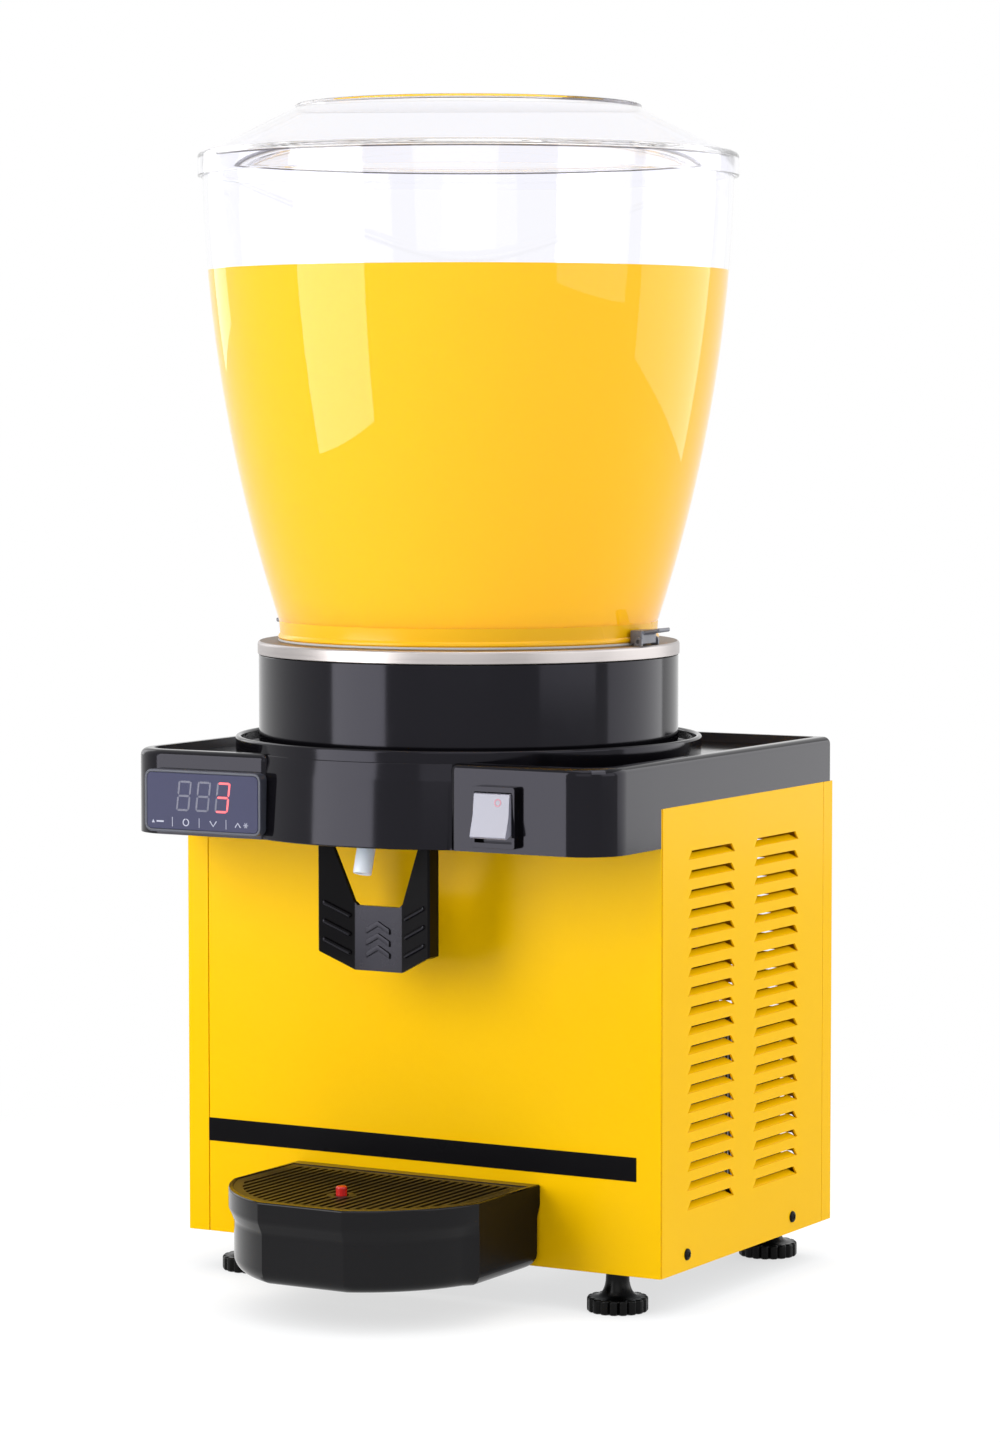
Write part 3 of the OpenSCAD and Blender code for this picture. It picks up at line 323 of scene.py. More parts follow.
# Fine grain, broad cloudiness and a bump from the grain
def makeGrain():
    group, nodes, links, source, result = newGroup(
        "mouldedGrain", [("Grain Scale", 900), ("Cloud Scale", 14), ("Depth", 0.1)],
        [("Grain", "NodeSocketFloat"), ("Cloud", "NodeSocketFloat"), ("Normal", "NodeSocketVector")])
    where = nodes.new("ShaderNodeTexCoord")
    grain = nodes.new("ShaderNodeTexNoise")
    grain.inputs["Detail"].default_value = 3
    cloud = nodes.new("ShaderNodeTexNoise")
    cloud.inputs["Detail"].default_value = 4
    cloud.inputs["Roughness"].default_value = 0.6
    bump = nodes.new("ShaderNodeBump")
    bump.inputs["Distance"].default_value = 0.0002
    wire(links, (where.outputs["Object"], grain.inputs["Vector"]),
         (where.outputs["Object"], cloud.inputs["Vector"]),
         (source.outputs["Grain Scale"], grain.inputs["Scale"]),
         (source.outputs["Cloud Scale"], cloud.inputs["Scale"]),
         (source.outputs["Depth"], bump.inputs["Strength"]), (grain.outputs["Fac"], bump.inputs["Height"]),
         (grain.outputs["Fac"], result.inputs["Grain"]), (cloud.outputs["Fac"], result.inputs["Cloud"]),
         (bump.outputs["Normal"], result.inputs["Normal"]))
    return group


# Brush marks that run round the bowl axis
def makeBrushed():
    group, nodes, links, source, result = newGroup(
        "turnedBrush", [("Line Scale", 2500), ("Depth", 0.1)],
        [("Line", "NodeSocketFloat"), ("Normal", "NodeSocketVector")])
    where = nodes.new("ShaderNodeTexCoord")
    centre = nodes.new("ShaderNodeMapping")
    centre.inputs["Location"].default_value = (0, -axisY * mm, 0)
    split = nodes.new("ShaderNodeSeparateXYZ")
    radius = nodes.new("ShaderNodeVectorMath")
    radius.operation = "LENGTH"
    flat = nodes.new("ShaderNodeCombineXYZ")
    across = nodes.new("ShaderNodeCombineXYZ")
    line = nodes.new("ShaderNodeTexNoise")
    line.inputs["Detail"].default_value = 2
    bump = nodes.new("ShaderNodeBump")
    bump.inputs["Distance"].default_value = 0.0001
    wire(links, (where.outputs["Object"], centre.inputs["Vector"]),
         (centre.outputs["Vector"], split.inputs["Vector"]),
         (split.outputs["X"], flat.inputs["X"]), (split.outputs["Y"], flat.inputs["Y"]),
         (flat.outputs["Vector"], radius.inputs[0]), (radius.outputs["Value"], across.inputs["X"]),
         (split.outputs["Z"], across.inputs["Y"]), (across.outputs["Vector"], line.inputs["Vector"]),
         (source.outputs["Line Scale"], line.inputs["Scale"]),
         (source.outputs["Depth"], bump.inputs["Strength"]),
         (line.outputs["Fac"], bump.inputs["Height"]), (line.outputs["Fac"], result.inputs["Line"]),
         (bump.outputs["Normal"], result.inputs["Normal"]))
    return group


grainGroup = makeGrain()
brushGroup = makeBrushed()


# The middle of a noise pattern stretched over a range
def span(tree, source, target, low, high):
    spread = tree.nodes.new("ShaderNodeMapRange")
    for label, value in (("From Min", 0.3), ("From Max", 0.7), ("To Min", low), ("To Max", high)):
        spread.inputs[label].default_value = value
    wire(tree.links, (source, spread.inputs["Value"]), (spread.outputs["Result"], target))


def linear(colour):
    return [((c / 255 + 0.055) / 1.055) ** 2.4 if c > 10 else c / 255 / 12.92 for c in colour] + [1]


def newMaterial(name, group, pattern, rough, settings):
    material = bpy.data.materials.new(name)
    material.use_nodes = True
    tree = material.node_tree
    shader = tree.nodes["Principled BSDF"]
    effect = tree.nodes.new("ShaderNodeGroup")
    effect.node_tree = group
    for label, value in settings.items():
        effect.inputs[label].default_value = value
    span(tree, effect.outputs[pattern], shader.inputs["Roughness"], *rough)
    tree.links.new(effect.outputs["Normal"], shader.inputs["Normal"])
    return material, tree, shader, effect.outputs[pattern]


def mixTint(tree, shader, pattern, light, dark):
    tint = tree.nodes.new("ShaderNodeMix")
    tint.data_type = "RGBA"
    tint.inputs[6].default_value = linear(dark)
    tint.inputs[7].default_value = linear(light)
    wire(tree.links, (pattern, tint.inputs[0]), (tint.outputs[2], shader.inputs["Base Color"]))


def grainMaterial(name, light, dark, rough, grain=900, cloud=14, depth=0.1, gloss=0.5, **sockets):
    settings = {"Grain Scale": grain, "Cloud Scale": cloud, "Depth": depth}
    material, tree, shader, pattern = newMaterial(name, grainGroup, "Cloud", rough, settings)
    mixTint(tree, shader, pattern, light, dark)
    shader.inputs["Specular IOR Level"].default_value = gloss
    for label, value in sockets.items():
        shader.inputs[label.replace("_", " ")].default_value = value
    return material


def brushedMaterial(name, light, dark, rough):
    settings = {"Line Scale": 2500, "Depth": 0.1}
    material, tree, shader, pattern = newMaterial(name, brushGroup, "Line", rough, settings)
    mixTint(tree, shader, pattern, light, dark)
    shader.inputs["Metallic"].default_value = 1
    return material


def clearMaterial(name, tint, rough):
    settings = {"Grain Scale": 60, "Cloud Scale": 9, "Depth": 0.012}
    material, tree, shader, pattern = newMaterial(name, grainGroup, "Cloud", rough, settings)
    shader.inputs["Base Color"].default_value = linear(tint)
    shader.inputs["Transmission Weight"].default_value = 1
    shader.inputs["IOR"].default_value = 1.38
    return material


coolGloss = (0.86, 0.84, 1, 1)  # black plastic mirrors the lights a little blue
yellowPaint = grainMaterial("yellowPaint", (255, 200, 4), (253, 195, 1), (0.16, 0.24),
                            700, 9, 0.04, gloss=0.05)
glossBlack = grainMaterial("glossBlack", (13, 12, 15), (9, 8, 11), (0.07, 0.13),
                           1200, 12, 0.01, Specular_Tint=coolGloss, gloss=0.22)
trayBlack = grainMaterial("trayBlack", (9, 8, 11), (6, 5, 8), (0.12, 0.2), 1200, 12, 0.02, gloss=0.2)
# satin deck finish; its lighter grey is painted sheen standing in for the bright reflection on the deck
deckBlack = grainMaterial("deckBlack", (46, 45, 48), (40, 39, 42), (0.3, 0.4),
                          1500, 14, 0.05, Specular_Tint=coolGloss)
leverBlack = grainMaterial("leverBlack", (18, 17, 21), (13, 12, 16), (0.24, 0.32),
                           1800, 18, 0.08, Specular_Tint=coolGloss, gloss=0.3)
# painted shade: a darker, less glossy copy of the black for faces that face sideways
wingBlack = grainMaterial("wingBlack", (13, 12, 14), (9, 8, 10), (0.3, 0.4), 1800, 18, 0.08, gloss=0.07)
gridBlack = grainMaterial("gridBlack", (15, 14, 16), (11, 10, 12), (0.3, 0.42), 1800, 18, 0.08, gloss=0.2)
mattBlack = grainMaterial("mattBlack", (24, 23, 27), (17, 16, 20), (0.34, 0.46),
                          1800, 18, 0.1, Specular_Tint=coolGloss)
footRubber = grainMaterial("footRubber", (5, 5, 5), (3, 3, 3), (0.2, 0.32), 1500, 40, 0.1, gloss=0.12)
screwBlack = grainMaterial("screwBlack", (9, 9, 10), (6, 6, 7), (0.3, 0.45), 1500, 60, 0.1, gloss=0.1)
stripeFilm = grainMaterial("stripeFilm", (8, 7, 10), (6, 5, 8), (0.25, 0.35), 1500, 10, 0.02, gloss=0.05)
stainless = brushedMaterial("stainless", (182, 176, 174), (160, 155, 154), (0.32, 0.42))
zincSteel = grainMaterial("zincSteel", (196, 198, 200), (166, 168, 172), (0.3, 0.5),
                          500, 70, 0.05, Metallic=1)
# painted shade: a darker brown metal for the rim top that lies in the bowl's shadow
rimBrown = brushedMaterial("rimBrown", (124, 108, 92), (108, 94, 80), (0.4, 0.5))
clearPlastic = clearMaterial("clearPlastic", (252, 252, 255), (0.0, 0.02))
# painted shade: a dark clear tint that draws the dark edge lines clear plastic shows at its rims
clearEdge = clearMaterial("clearEdge", (96, 93, 102), (0.0, 0.02))
sealRubber = grainMaterial("sealRubber", (206, 206, 204), (188, 188, 186), (0.5, 0.65), 1500, 30, 0.1)
mountRubber = grainMaterial("mountRubber", (32, 32, 32), (22, 22, 22), (0.6, 0.8), 1500, 30, 0.2)
silicone = grainMaterial("silicone", (246, 245, 250), (238, 237, 243), (0.3, 0.42), 1200, 40, 0.05,
                         Subsurface_Weight=0.2)
clipGrey = grainMaterial("clipGrey", (116, 117, 126), (104, 105, 114), (0.3, 0.42), 1500, 60, 0.08)
# smoked window tint, lifted to a lighter blue-grey as painted reflection of the front softbox; its own gloss
# is kept low
windowDark = grainMaterial("windowDark", (70, 71, 96), (64, 65, 89), (0.12, 0.2), 1600, 20, 0.01, gloss=0.06)
rockerWhite = grainMaterial("rockerWhite", (156, 155, 168), (146, 145, 158), (0.16, 0.26), 1400, 40, 0.04)
bezelGrey = grainMaterial("bezelGrey", (80, 82, 92), (72, 74, 84), (0.3, 0.42), 1700, 20, 0.06, gloss=0.3)
markPink = grainMaterial("markPink", (206, 132, 148), (196, 120, 138), (0.35, 0.45), 1500, 60, 0.03)
redPlastic = grainMaterial("redPlastic", (216, 34, 28), (190, 24, 20), (0.22, 0.32), 1500, 60, 0.05)
whitePlastic = grainMaterial("whitePlastic", (236, 236, 234), (222, 222, 220), (0.3, 0.42), 1400, 30, 0.06)
foamCream = grainMaterial("foamCream", (238, 232, 206), (220, 212, 184), (0.8, 0.95), 420, 30, 0.5)
copperTube = grainMaterial("copperTube", (206, 132, 92), (170, 96, 62), (0.25, 0.45),
                           600, 60, 0.05, Metallic=1)
blackEnamel = grainMaterial("blackEnamel", (28, 28, 30), (20, 20, 22), (0.2, 0.35), 500, 20, 0.06)
motorGrey = grainMaterial("motorGrey", (150, 152, 154), (124, 126, 130), (0.35, 0.5),
                          900, 40, 0.1, Metallic=0.5)
finAluminium = grainMaterial("finAluminium", (206, 208, 210), (180, 182, 186), (0.28, 0.42),
                             900, 50, 0.05, Metallic=1)
boxPlastic = grainMaterial("boxPlastic", (214, 214, 206), (198, 198, 190), (0.4, 0.55), 1500, 30, 0.1)
# painted light: the drink glows a little in its own colour, standing in for light reaching it through the
# bowl
juice = grainMaterial("juice", (255, 198, 2), (254, 194, 1), (0.5, 0.6), 60, 6, 0.0, gloss=0.1,
                      Emission_Color=linear((255, 198, 0)), Emission_Strength=0.18)
# painted shade: a slightly darker opaque drink colour for the bowl's neck, in place of the drink seen through
# the wall
juiceLow = grainMaterial("juiceLow", (252, 192, 4), (248, 186, 2), (0.2, 0.3), 60, 6, 0.0, gloss=0.3)
print("materials made")


# Feet
footShape = {"radius": 16.5, "rim": 8, "neck": 6.3, "top": 21.7, "stem": 5, "stemTop": 35, "scallops": 18,
             "scallopDepth": 1.4, "rimEdge": 1.2, "flare": (5.2, 10.4), "hub": 14.2, "hubLow": 6,
             "places": {"frontLeft": ("foot_fl", "foot_front_left", -117, -34.6),
                        "frontRight": ("foot_fr", "foot_front_right", 117, -34.6),
                        "rearLeft": ("foot_rl", "foot_rear_left", -117, 146.6),
                        "rearRight": ("foot_rr", "foot_rear_right", 117, 146.6)}}


def makeFoot(name, x, y):
    f = footShape
    outline = []
    count = f["scallops"] * 8
    for i in range(count):
        a = 2 * math.pi * i / count
        dip = max(0, math.cos(f["scallops"] * a)) ** 2 * f["scallopDepth"]
        outline.append((x + (f["radius"] - dip) * math.cos(a), y + (f["radius"] - dip) * math.sin(a)))
    disc = standOutline(name, outline, 0, f["rim"])
    editMode(disc)
    pickEdges(lambda a, b: abs(a.z - b.z) < 0.01)
    ops.mesh.bevel(offset=f["rimEdge"] * mm, segments=3, affect="EDGES")
    wide, tall = f["flare"]
    profile = [(0, f["hubLow"]), (f["hub"], f["hubLow"]), (f["hub"], f["rim"] - 0.2)]
    for t in range(0, 91, 15):
        a = math.radians(t)
        profile.append((f["neck"] + wide * (1 - math.sin(a)), f["rim"] + 0.3 + tall * (1 - math.cos(a))))
    profile += [(f["neck"], f["top"] - 0.6), (f["neck"] - 0.6, f["top"]), (f["stem"], f["top"]),
                (f["stem"], f["stemTop"] - 1), (f["stem"] - 1, f["stemTop"]), (0, f["stemTop"])]
    column = turnProfile(name + "Column", profile, 48, (x, y))
    joinInto(disc, column)
    smooth(disc, 40)
    return disc


for corner, (body, node, x, y) in footShape["places"].items():
    place(makeFoot(corner + "Foot", x, y), body, "matt_black", footRubber, node)
print("feet made")

# Sheet metal panels, stripe and screws
panelShape = {"edge": 0.5, "stripeEdge": 0.12,
              "sheets": {"wrap_panel": "wrapSheet", "front_panel": "frontSheet", "side_panel": "sideSheet"},
              # louvre tongues pressed further in: inside this x, between these y and z, moved by
              "press": {"side_panel": (147.9, (-20, 120), (50, 250), (-0.4, 0, -0.75))}}
for node, name in panelShape["sheets"].items():
    panel = easedCopy(node, name, panelShape["edge"], 2, 40, press=panelShape["press"].get(node))
    place(panel, "cabinet", "yellow_paint", yellowPaint, node)
stripe = easedCopy("front_stripe", "stripeBand", panelShape["stripeEdge"], 2)
place(stripe, "cabinet", "gloss_black", stripeFilm, "front_stripe")

screwShape = {"radius": 3.2, "height": 1.6, "edge": 0.4, "shank": (2, 6), "slot": 0.9, "slotHalf": 1.9,
              "slotFloor": 0.9, "spun": 0.5, "panel": 150, "places": [(-17.4, 30.7), (110.5, 30.7)]}


def makeScrew(name, x, y, z):
    s = screwShape
    r, edge = s["radius"], s["edge"]
    shank, deep = s["shank"]
    profile = [(0, -deep), (shank, -deep), (shank, 0), (r, 0), (r, edge)]
    for t in range(15, 91, 15):
        a = math.radians(t)
        profile.append((r * math.cos(a), edge + (s["height"] - edge) * math.sin(a)))
    screw = turnProfile(name, profile, 32, (0, 0))
    half, long, low = s["slot"] / 2, s["slotHalf"], s["slotFloor"]
    cutAway(screw, addBox("slotA", (-long, -half, low), (long, half, 3)),
            addBox("slotB", (-half, -long, low), (half, long, 3)))
    facing = Matrix.Rotation(math.copysign(math.pi / 2, x), 4, "Y")
    settle(screw, (x, y, z), facing @ Matrix.Rotation(s["spun"], 4, "Z"))
    smooth(screw)
    return screw


panelSides = (-screwShape["panel"], screwShape["panel"])
screws = [makeScrew("screw", x, y, z) for x in panelSides for y, z in screwShape["places"]]
place(joinAs("panelScrews", screws), "cabinet", "screw_black", screwBlack, "panel_screws")
gland = easedCopy("cable_gland", "cableGland", 0.8, 3)
place(gland, "cabinet", "matt_black", mattBlack, "cable_gland")
print("panels made")

# Moulded cover with two ears, the round front and the drip gutter
coverShape = {"half": 150, "rear": 160, "earInner": 56.7, "earCorner": 24.5, "corner": 4.3, "between": -100,
              "skirt": 252, "panelTop": 273, "top": 298, "edge": 4, "border": 3.2, "draft": 1.9, "deck": 293,
              "pocketCorner": 3, "wall": 3, "insideBend": 18, "insideBack": -103, "insideLow": 230,
              "tapHalf": 55, "tapFront": -112, "gutterOut": 129, "gutterIn": 113, "gutterFloor": 297,
              "gutterWall": 4, "lipTop": 304, "lipWall": 3.2, "lipRound": 1.4, "wellIn": 1.5, "bulge": 26.4,
              "bulgeSide": [(132.4, 252, 0.8), (130.9, 288.5, 3), (129.4, 297.5, 0.6), (126, 297.5, 0),
                            (127, 255, 0), (129, 252, 0.8)]}


def makeCover():
    c = coverShape
    side, rear, inner, corner, bend = c["half"], c["rear"], c["earInner"], c["corner"], c["earCorner"]
    corners = [(side, rear, corner), (-side, rear, corner), (-side, earY, bend), (-inner, earY, corner),
               (-inner, c["between"], 0), (inner, c["between"], 0), (inner, earY, corner), (side, earY, bend)]
    cover = standOutline("mouldedCover", roundCorners(corners, 10), c["panelTop"], c["top"] - c["edge"])
    editMode(cover)
    ops.mesh.select_all(action="SELECT")
    ops.mesh.bisect(plane_co=(0, (panelY - 0.3) * mm, 0), plane_no=(0, 1, 0))
    pickFaces(lambda p, n: n.z < -0.9 and p.y < panelY - 0.3)
    growFaces(0, 0, c["skirt"] - c["panelTop"])
    pickFaces(lambda p, n: n.z > 0.9)
    ops.mesh.dissolve_faces()
    rounded = arcPoints((0, 0), c["edge"], 0, 90, 6)
    for low, high in zip(rounded, rounded[1:]):
        ops.mesh.inset(thickness=(low.x - high.x) * mm, depth=(high.y - low.y) * mm)
    mergeDoubles()
    objectMode()
    inset = c["edge"] + c["border"]
    sunk = [(side - inset, rear - inset, c["pocketCorner"]), (inset - side, rear - inset, c["pocketCorner"]),
            (inset - side, earY + inset, bend - inset), (side - inset, earY + inset, bend - inset)]
    pocket = standOutline("pocket", roundCorners(sunk, 10), c["top"] + 0.5, c["top"] + 5)
    editMode(pocket)
    pickFaces(lambda p, n: n.z < -0.9)
    ops.mesh.inset(thickness=c["draft"] * mm, depth=(c["top"] + 0.5 - c["deck"]) * mm)
    mergeDoubles()
    objectMode()
    side, wall, inner = c["half"] - c["wall"], earY + c["wall"], c["earInner"] + c["wall"]
    back, bend, rear = c["insideBack"], c["insideBend"], c["rear"] - c["wall"]
    half, front = c["tapHalf"], c["tapFront"]
    inside = [(side, rear, 3), (-side, rear, 3), (-side, wall, bend), (-inner, wall, 0), (-inner, back, 0),
              (-half, back, 0), (-half, front, 0), (half, front, 0), (half, back, 0), (inner, back, 0),
              (inner, wall, 0), (side, wall, bend)]
    hollow = standOutline("hollow", roundCorners(inside, 8), c["insideLow"], c["deck"] - c["wall"])
    well = standOutline("well", arcPoints((0, axisY), c["gutterOut"] - c["wellIn"], 0, 357, 119), 200, 400)
    cutAway(cover, pocket, hollow, well)
    smooth(cover, 40)
    out, floor, lipTop, bend = c["gutterOut"], c["gutterFloor"], c["lipTop"], c["lipRound"]
    low, inner = floor - c["gutterWall"], out - c["lipWall"]
    lip = [(c["gutterIn"], low, 0), (out - 0.2, low, 0), (out, lipTop, bend), (inner, lipTop, bend),
           (inner, floor, 1.5), (c["gutterIn"], floor, 0)]
    gutter = turnProfile("gutter", roundCorners(lip, 4), 160)
    outer = roundCorners(c["bulgeSide"], 5)
    bulge = turnProfile("bulge", outer, 56, (0, axisY), 2 * c["bulge"], -90 - c["bulge"])
    inner = c["earInner"]
    trims = ((inner, 70), (-70, -inner))
    cutAway(bulge, *[addBox("trim", (low, -130, 240), (high, earY, 310)) for low, high in trims])
    smooth(bulge)
    joinInto(cover, gutter, bulge)
    return cover


cover = makeCover()
place(cover, "cabinet", "gloss_black", glossBlack, "top_cover")


def onDeck(p, n):
    c = coverShape
    sunk = c["deck"] - 0.3 < p.z < c["top"] - 1 and n.z > 0.2
    within = abs(p.x) < c["half"] - 6 and -105 < p.y < c["rear"] - 6
    return sunk and within and (p.xy - Vector((0, axisY))).length > c["gutterOut"] + 0.5


# painted sheen: the sunk deck and its walls get the lighter grey
secondFinish(cover, deckBlack, onDeck)
soffit = easedCopy("front_soffit", "frontSoffit", 0.4)
place(soffit, "cabinet", "matt_black", mattBlack, "front_soffit")
print("cover made")

# Black collar and the stainless pan with its rim, its post and the stub for the outlet tube
tubeShape = {"tip": (0, -105.3, 236), "lean": 17, "outer": 5, "bore": 3.5, "length": 66, "stubUp": 51}
collarShape = [(113, 297, 0), (115.2, 297, 0.5), (116, 299, 1.2), (116, 348.6, 0.6), (113, 348.6, 0.4)]
collar = turnProfile("blackCollar", roundCorners(collarShape, 4), 160)
place(collar, "cabinet", "gloss_black", glossBlack, "collar")

panShape = [(0, 302.5, 0), (99, 302.5, 4), (99, 355, 0), (115.6, 355, 0.8), (115.6, 348.9, 0),
            (116.6, 348.9, 0.4), (116.6, 356, 1.8), (98, 356, 1), (98, 303.5, 4), (0, 303.5, 0)]
pan = turnProfile("chilledPan", roundCorners(panShape, 5), 160)
lugShape = {"x": 111.5, "z": 358.3, "low": 355.6, "out": 2.3, "wide": 1.5, "ys": (axisY - 9.55, axisY + 9.55)}
lugs = []
for x in (-lugShape["x"], lugShape["x"]):
    for y in lugShape["ys"]:
        low, out = lugShape["low"], lugShape["out"]
        outline = [(x - out, low), (x + out, low)]
        outline += [tuple(p) for p in arcPoints((x, lugShape["z"]), out, 0, 180, 10)]
        lug = pushOutline("lug", outline, y - lugShape["wide"] / 2, y + lugShape["wide"] / 2)
        lugs.append(softenEdges(lug, 0.25, 2, 50))
post = turnProfile("post", roundCorners([(0, 302.8, 0), (5, 302.8, 0), (5, 328.5, 1), (0, 328.5, 0)], 4), 40)
stub = turnProfile("stub", [(2.65, 0), (3.45, 0), (3.45, 16), (2.65, 16)], 32, (0, 0))
lean = math.radians(tubeShape["lean"])
stubBase = Vector(tubeShape["tip"]) + Vector((0, math.sin(lean), math.cos(lean))) * tubeShape["stubUp"]
settle(stub, stubBase, Matrix.Rotation(-lean, 4, "X"))
joinInto(pan, post, stub)
place(pan, "cabinet", "stainless", stainless, "evaporator_pan")
secondFinish(pan, rimBrown, lambda p, n: p.z > 355.9 and n.z > 0.9)  # painted shade: the rim's top is darkened brown where the bowl shades it
place(joinAs("clipLugs", lugs), "cabinet", "clip_grey", clipGrey)
print("pan made")

# Bowl, drink, lid and clips
bowlShape = {"base": 357.2, "foot": 105.2, "footTop": 359.6, "neck": 104.2, "neckTop": 366.2, "wall": 3,
             "top": 620.2, "centre": (-708.94, 629.8), "curve": 855}


def bowlSide(r, low, high, steps):
    b = bowlShape
    points = []
    for k in range(steps + 1):
        z = low + (high - low) * k / steps
        points.append(Vector((b["centre"][0] + math.sqrt(r * r - (z - b["centre"][1]) ** 2), z)))
    return points


def makeBowl():
    b = bowlShape
    outer = bowlSide(b["curve"], b["neckTop"] + 1, b["top"] - 1, 36)
    inner = bowlSide(b["curve"] - b["wall"], b["neckTop"] + 1, b["top"] - 1, 36)
    inside = b["neck"] - b["wall"]
    base, foot, footTop = b["base"], b["foot"], b["footTop"]
    profile = [(inside, base + 0.6), (inside + 0.6, base), (foot - 0.8, base), (foot, base + 0.8),
               (foot, footTop - 0.8), (foot - 0.4, footTop - 0.1), (b["neck"], footTop + 0.6)]
    profile += [tuple(p) for p in outer]
    rim = (outer[-1] + inner[-1]) / 2
    profile += [(outer[-1].x - 0.4, b["top"] - 0.3), (rim.x, b["top"]), (inner[-1].x + 0.4, b["top"] - 0.3)]
    profile += [tuple(p) for p in reversed(inner)]
    return turnProfile("clearBowl", profile, 192)


bowl = makeBowl()
place(bowl, "bowl", "clear_plastic", clearPlastic, "bowl")
# painted shade: dark edge line along the bowl's rim
secondFinish(bowl, clearEdge, lambda p, n: p.z > bowlShape["top"] - 0.7)
secondFinish(bowl, juiceLow, lambda p, n: p.z < bowlShape["neckTop"])  # painted: the clear neck takes an opaque, slightly shaded drink colour standing in for the drink seen through it

drinkShape = {"base": 358, "neck": 101.35, "neckTop": 366, "sideLow": 367.4, "top": 559.4, "into": 0.15}
base, neck, top = drinkShape["base"], drinkShape["neck"], drinkShape["top"]
drinkCurve = bowlShape["curve"] - bowlShape["wall"] + drinkShape["into"]  # no gap shows
drinkSide = bowlSide(drinkCurve, drinkShape["sideLow"], top, 30)
edge = drinkSide[-1].x
drinkProfile = [(0, base), (neck, base), (neck, drinkShape["neckTop"])] + [tuple(p) for p in drinkSide]
drinkProfile += [(edge - 1.2, top - 0.5), (edge - 4, top - 0.8), (0, top - 0.8)]
drink = turnProfile("drink", drinkProfile, 192)
place(drink, "bowl", "clear_plastic", juice)

lidShape = {"bottom": 610.2, "out": 148.5, "seat": 620.5, "bore": 146.3, "inner": 142, "shoulder": 623.2,
            "flatR": 95.3, "flat": 648, "wall": 2.5}
lidProfile = roundCorners([
    (lidShape["bore"], lidShape["bottom"], 0.5), (lidShape["out"], lidShape["bottom"], 0.6),
    (lidShape["out"], lidShape["shoulder"], 5), (lidShape["out"] - 5.5, lidShape["shoulder"] + 0.3, 2),
    (lidShape["flatR"], lidShape["flat"] - 0.4, 1.5), (95.1, 649.3, 0.9), (93, 649.6, 0.9),
    (91.2, lidShape["flat"], 1), (0, lidShape["flat"], 0), (0, lidShape["flat"] - lidShape["wall"], 0),
    (93, lidShape["flat"] - lidShape["wall"], 1.5), (lidShape["inner"] - 2, lidShape["seat"] + 0.4, 1),
    (lidShape["inner"], lidShape["seat"], 0.6), (lidShape["bore"], lidShape["seat"], 0.6)], 5)
lid = turnProfile("clearLid", lidProfile, 192)
place(lid, "lid", "clear_plastic", clearPlastic, "lid")
# painted shade: dark edge line along the lid's top bead
secondFinish(lid, clearEdge, lambda p, n: p.z > lidShape["flat"] - 0.9 and p.xy.length > 92)
seal = easedCopy("bowl_seal", "bowlSeal", 0.3)
place(seal, "bowl", "seal_rubber", sealRubber, "bowl_seal")

clipShape = {"inner": 105.7, "outer": 113, "low": 356.6, "high": 364.2, "half": 8.5, "tab": 9.4,
             "tabHalf": 6.5, "tabThick": 2.2, "rise": 1.4, "bore": 1.05, "edge": 0.7}


def makeClip(name, side):
    c = clipShape
    clip = addBox(name, (c["inner"], axisY - c["half"], c["low"]), (c["outer"], axisY + c["half"], c["high"]))
    editMode(clip)
    ops.mesh.select_all(action="SELECT")
    for y in (axisY - c["tabHalf"], axisY + c["tabHalf"]):
        ops.mesh.bisect(plane_co=(0, y * mm, 0), plane_no=(0, 1, 0))
        ops.mesh.select_all(action="SELECT")
    ops.mesh.bisect(plane_co=(0, 0, (c["high"] - c["tabThick"]) * mm), plane_no=(0, 0, 1))
    pickFaces(lambda p, n: n.x > 0.9 and abs(p.y - axisY) < c["tabHalf"] and p.z > c["high"] - c["tabThick"])
    growFaces(c["tab"], 0, c["rise"])
    mergeDoubles()
    softenEdges(clip, c["edge"], 3, 30, 40)
    bore = turnProfile("bore", [(0, -30), (c["bore"], -30), (c["bore"], 30), (0, 30)], 24, (0, 0))
    pivot = Vector((lugShape["x"], axisY, lugShape["z"]))
    bore.matrix_world = Matrix.Translation(pivot * mm) @ Matrix.Rotation(math.pi / 2, 4, "X")
    cutAway(clip, bore)
    if side < 0:
        editMode(clip)
        ops.mesh.select_all(action="SELECT")
        ops.transform.mirror(constraint_axis=(True, False, False), center_override=(0, 0, 0))
        mergeDoubles()
    smooth(clip, 40)
    return clip


for name, body, side in (("clipRight", "clip_right", 1), ("clipLeft", "clip_left", -1)):
    place(makeClip(name, side), body, "clip_grey", clipGrey, body)
print("bowl made")

# Outlet tube
bore, outer, length = tubeShape["bore"], tubeShape["outer"], tubeShape["length"]
tubeProfile = roundCorners([(bore, 0, 0.3), (outer, 0, 0.6), (outer, length, 0.3), (bore, length, 0.3)], 4)
tube = turnProfile("outletTube", tubeProfile, 40, (0, 0))
settle(tube, tubeShape["tip"], Matrix.Rotation(-lean, 4, "X"))
smooth(tube)
place(tube, "cabinet", "silicone", silicone, "outlet_tube")

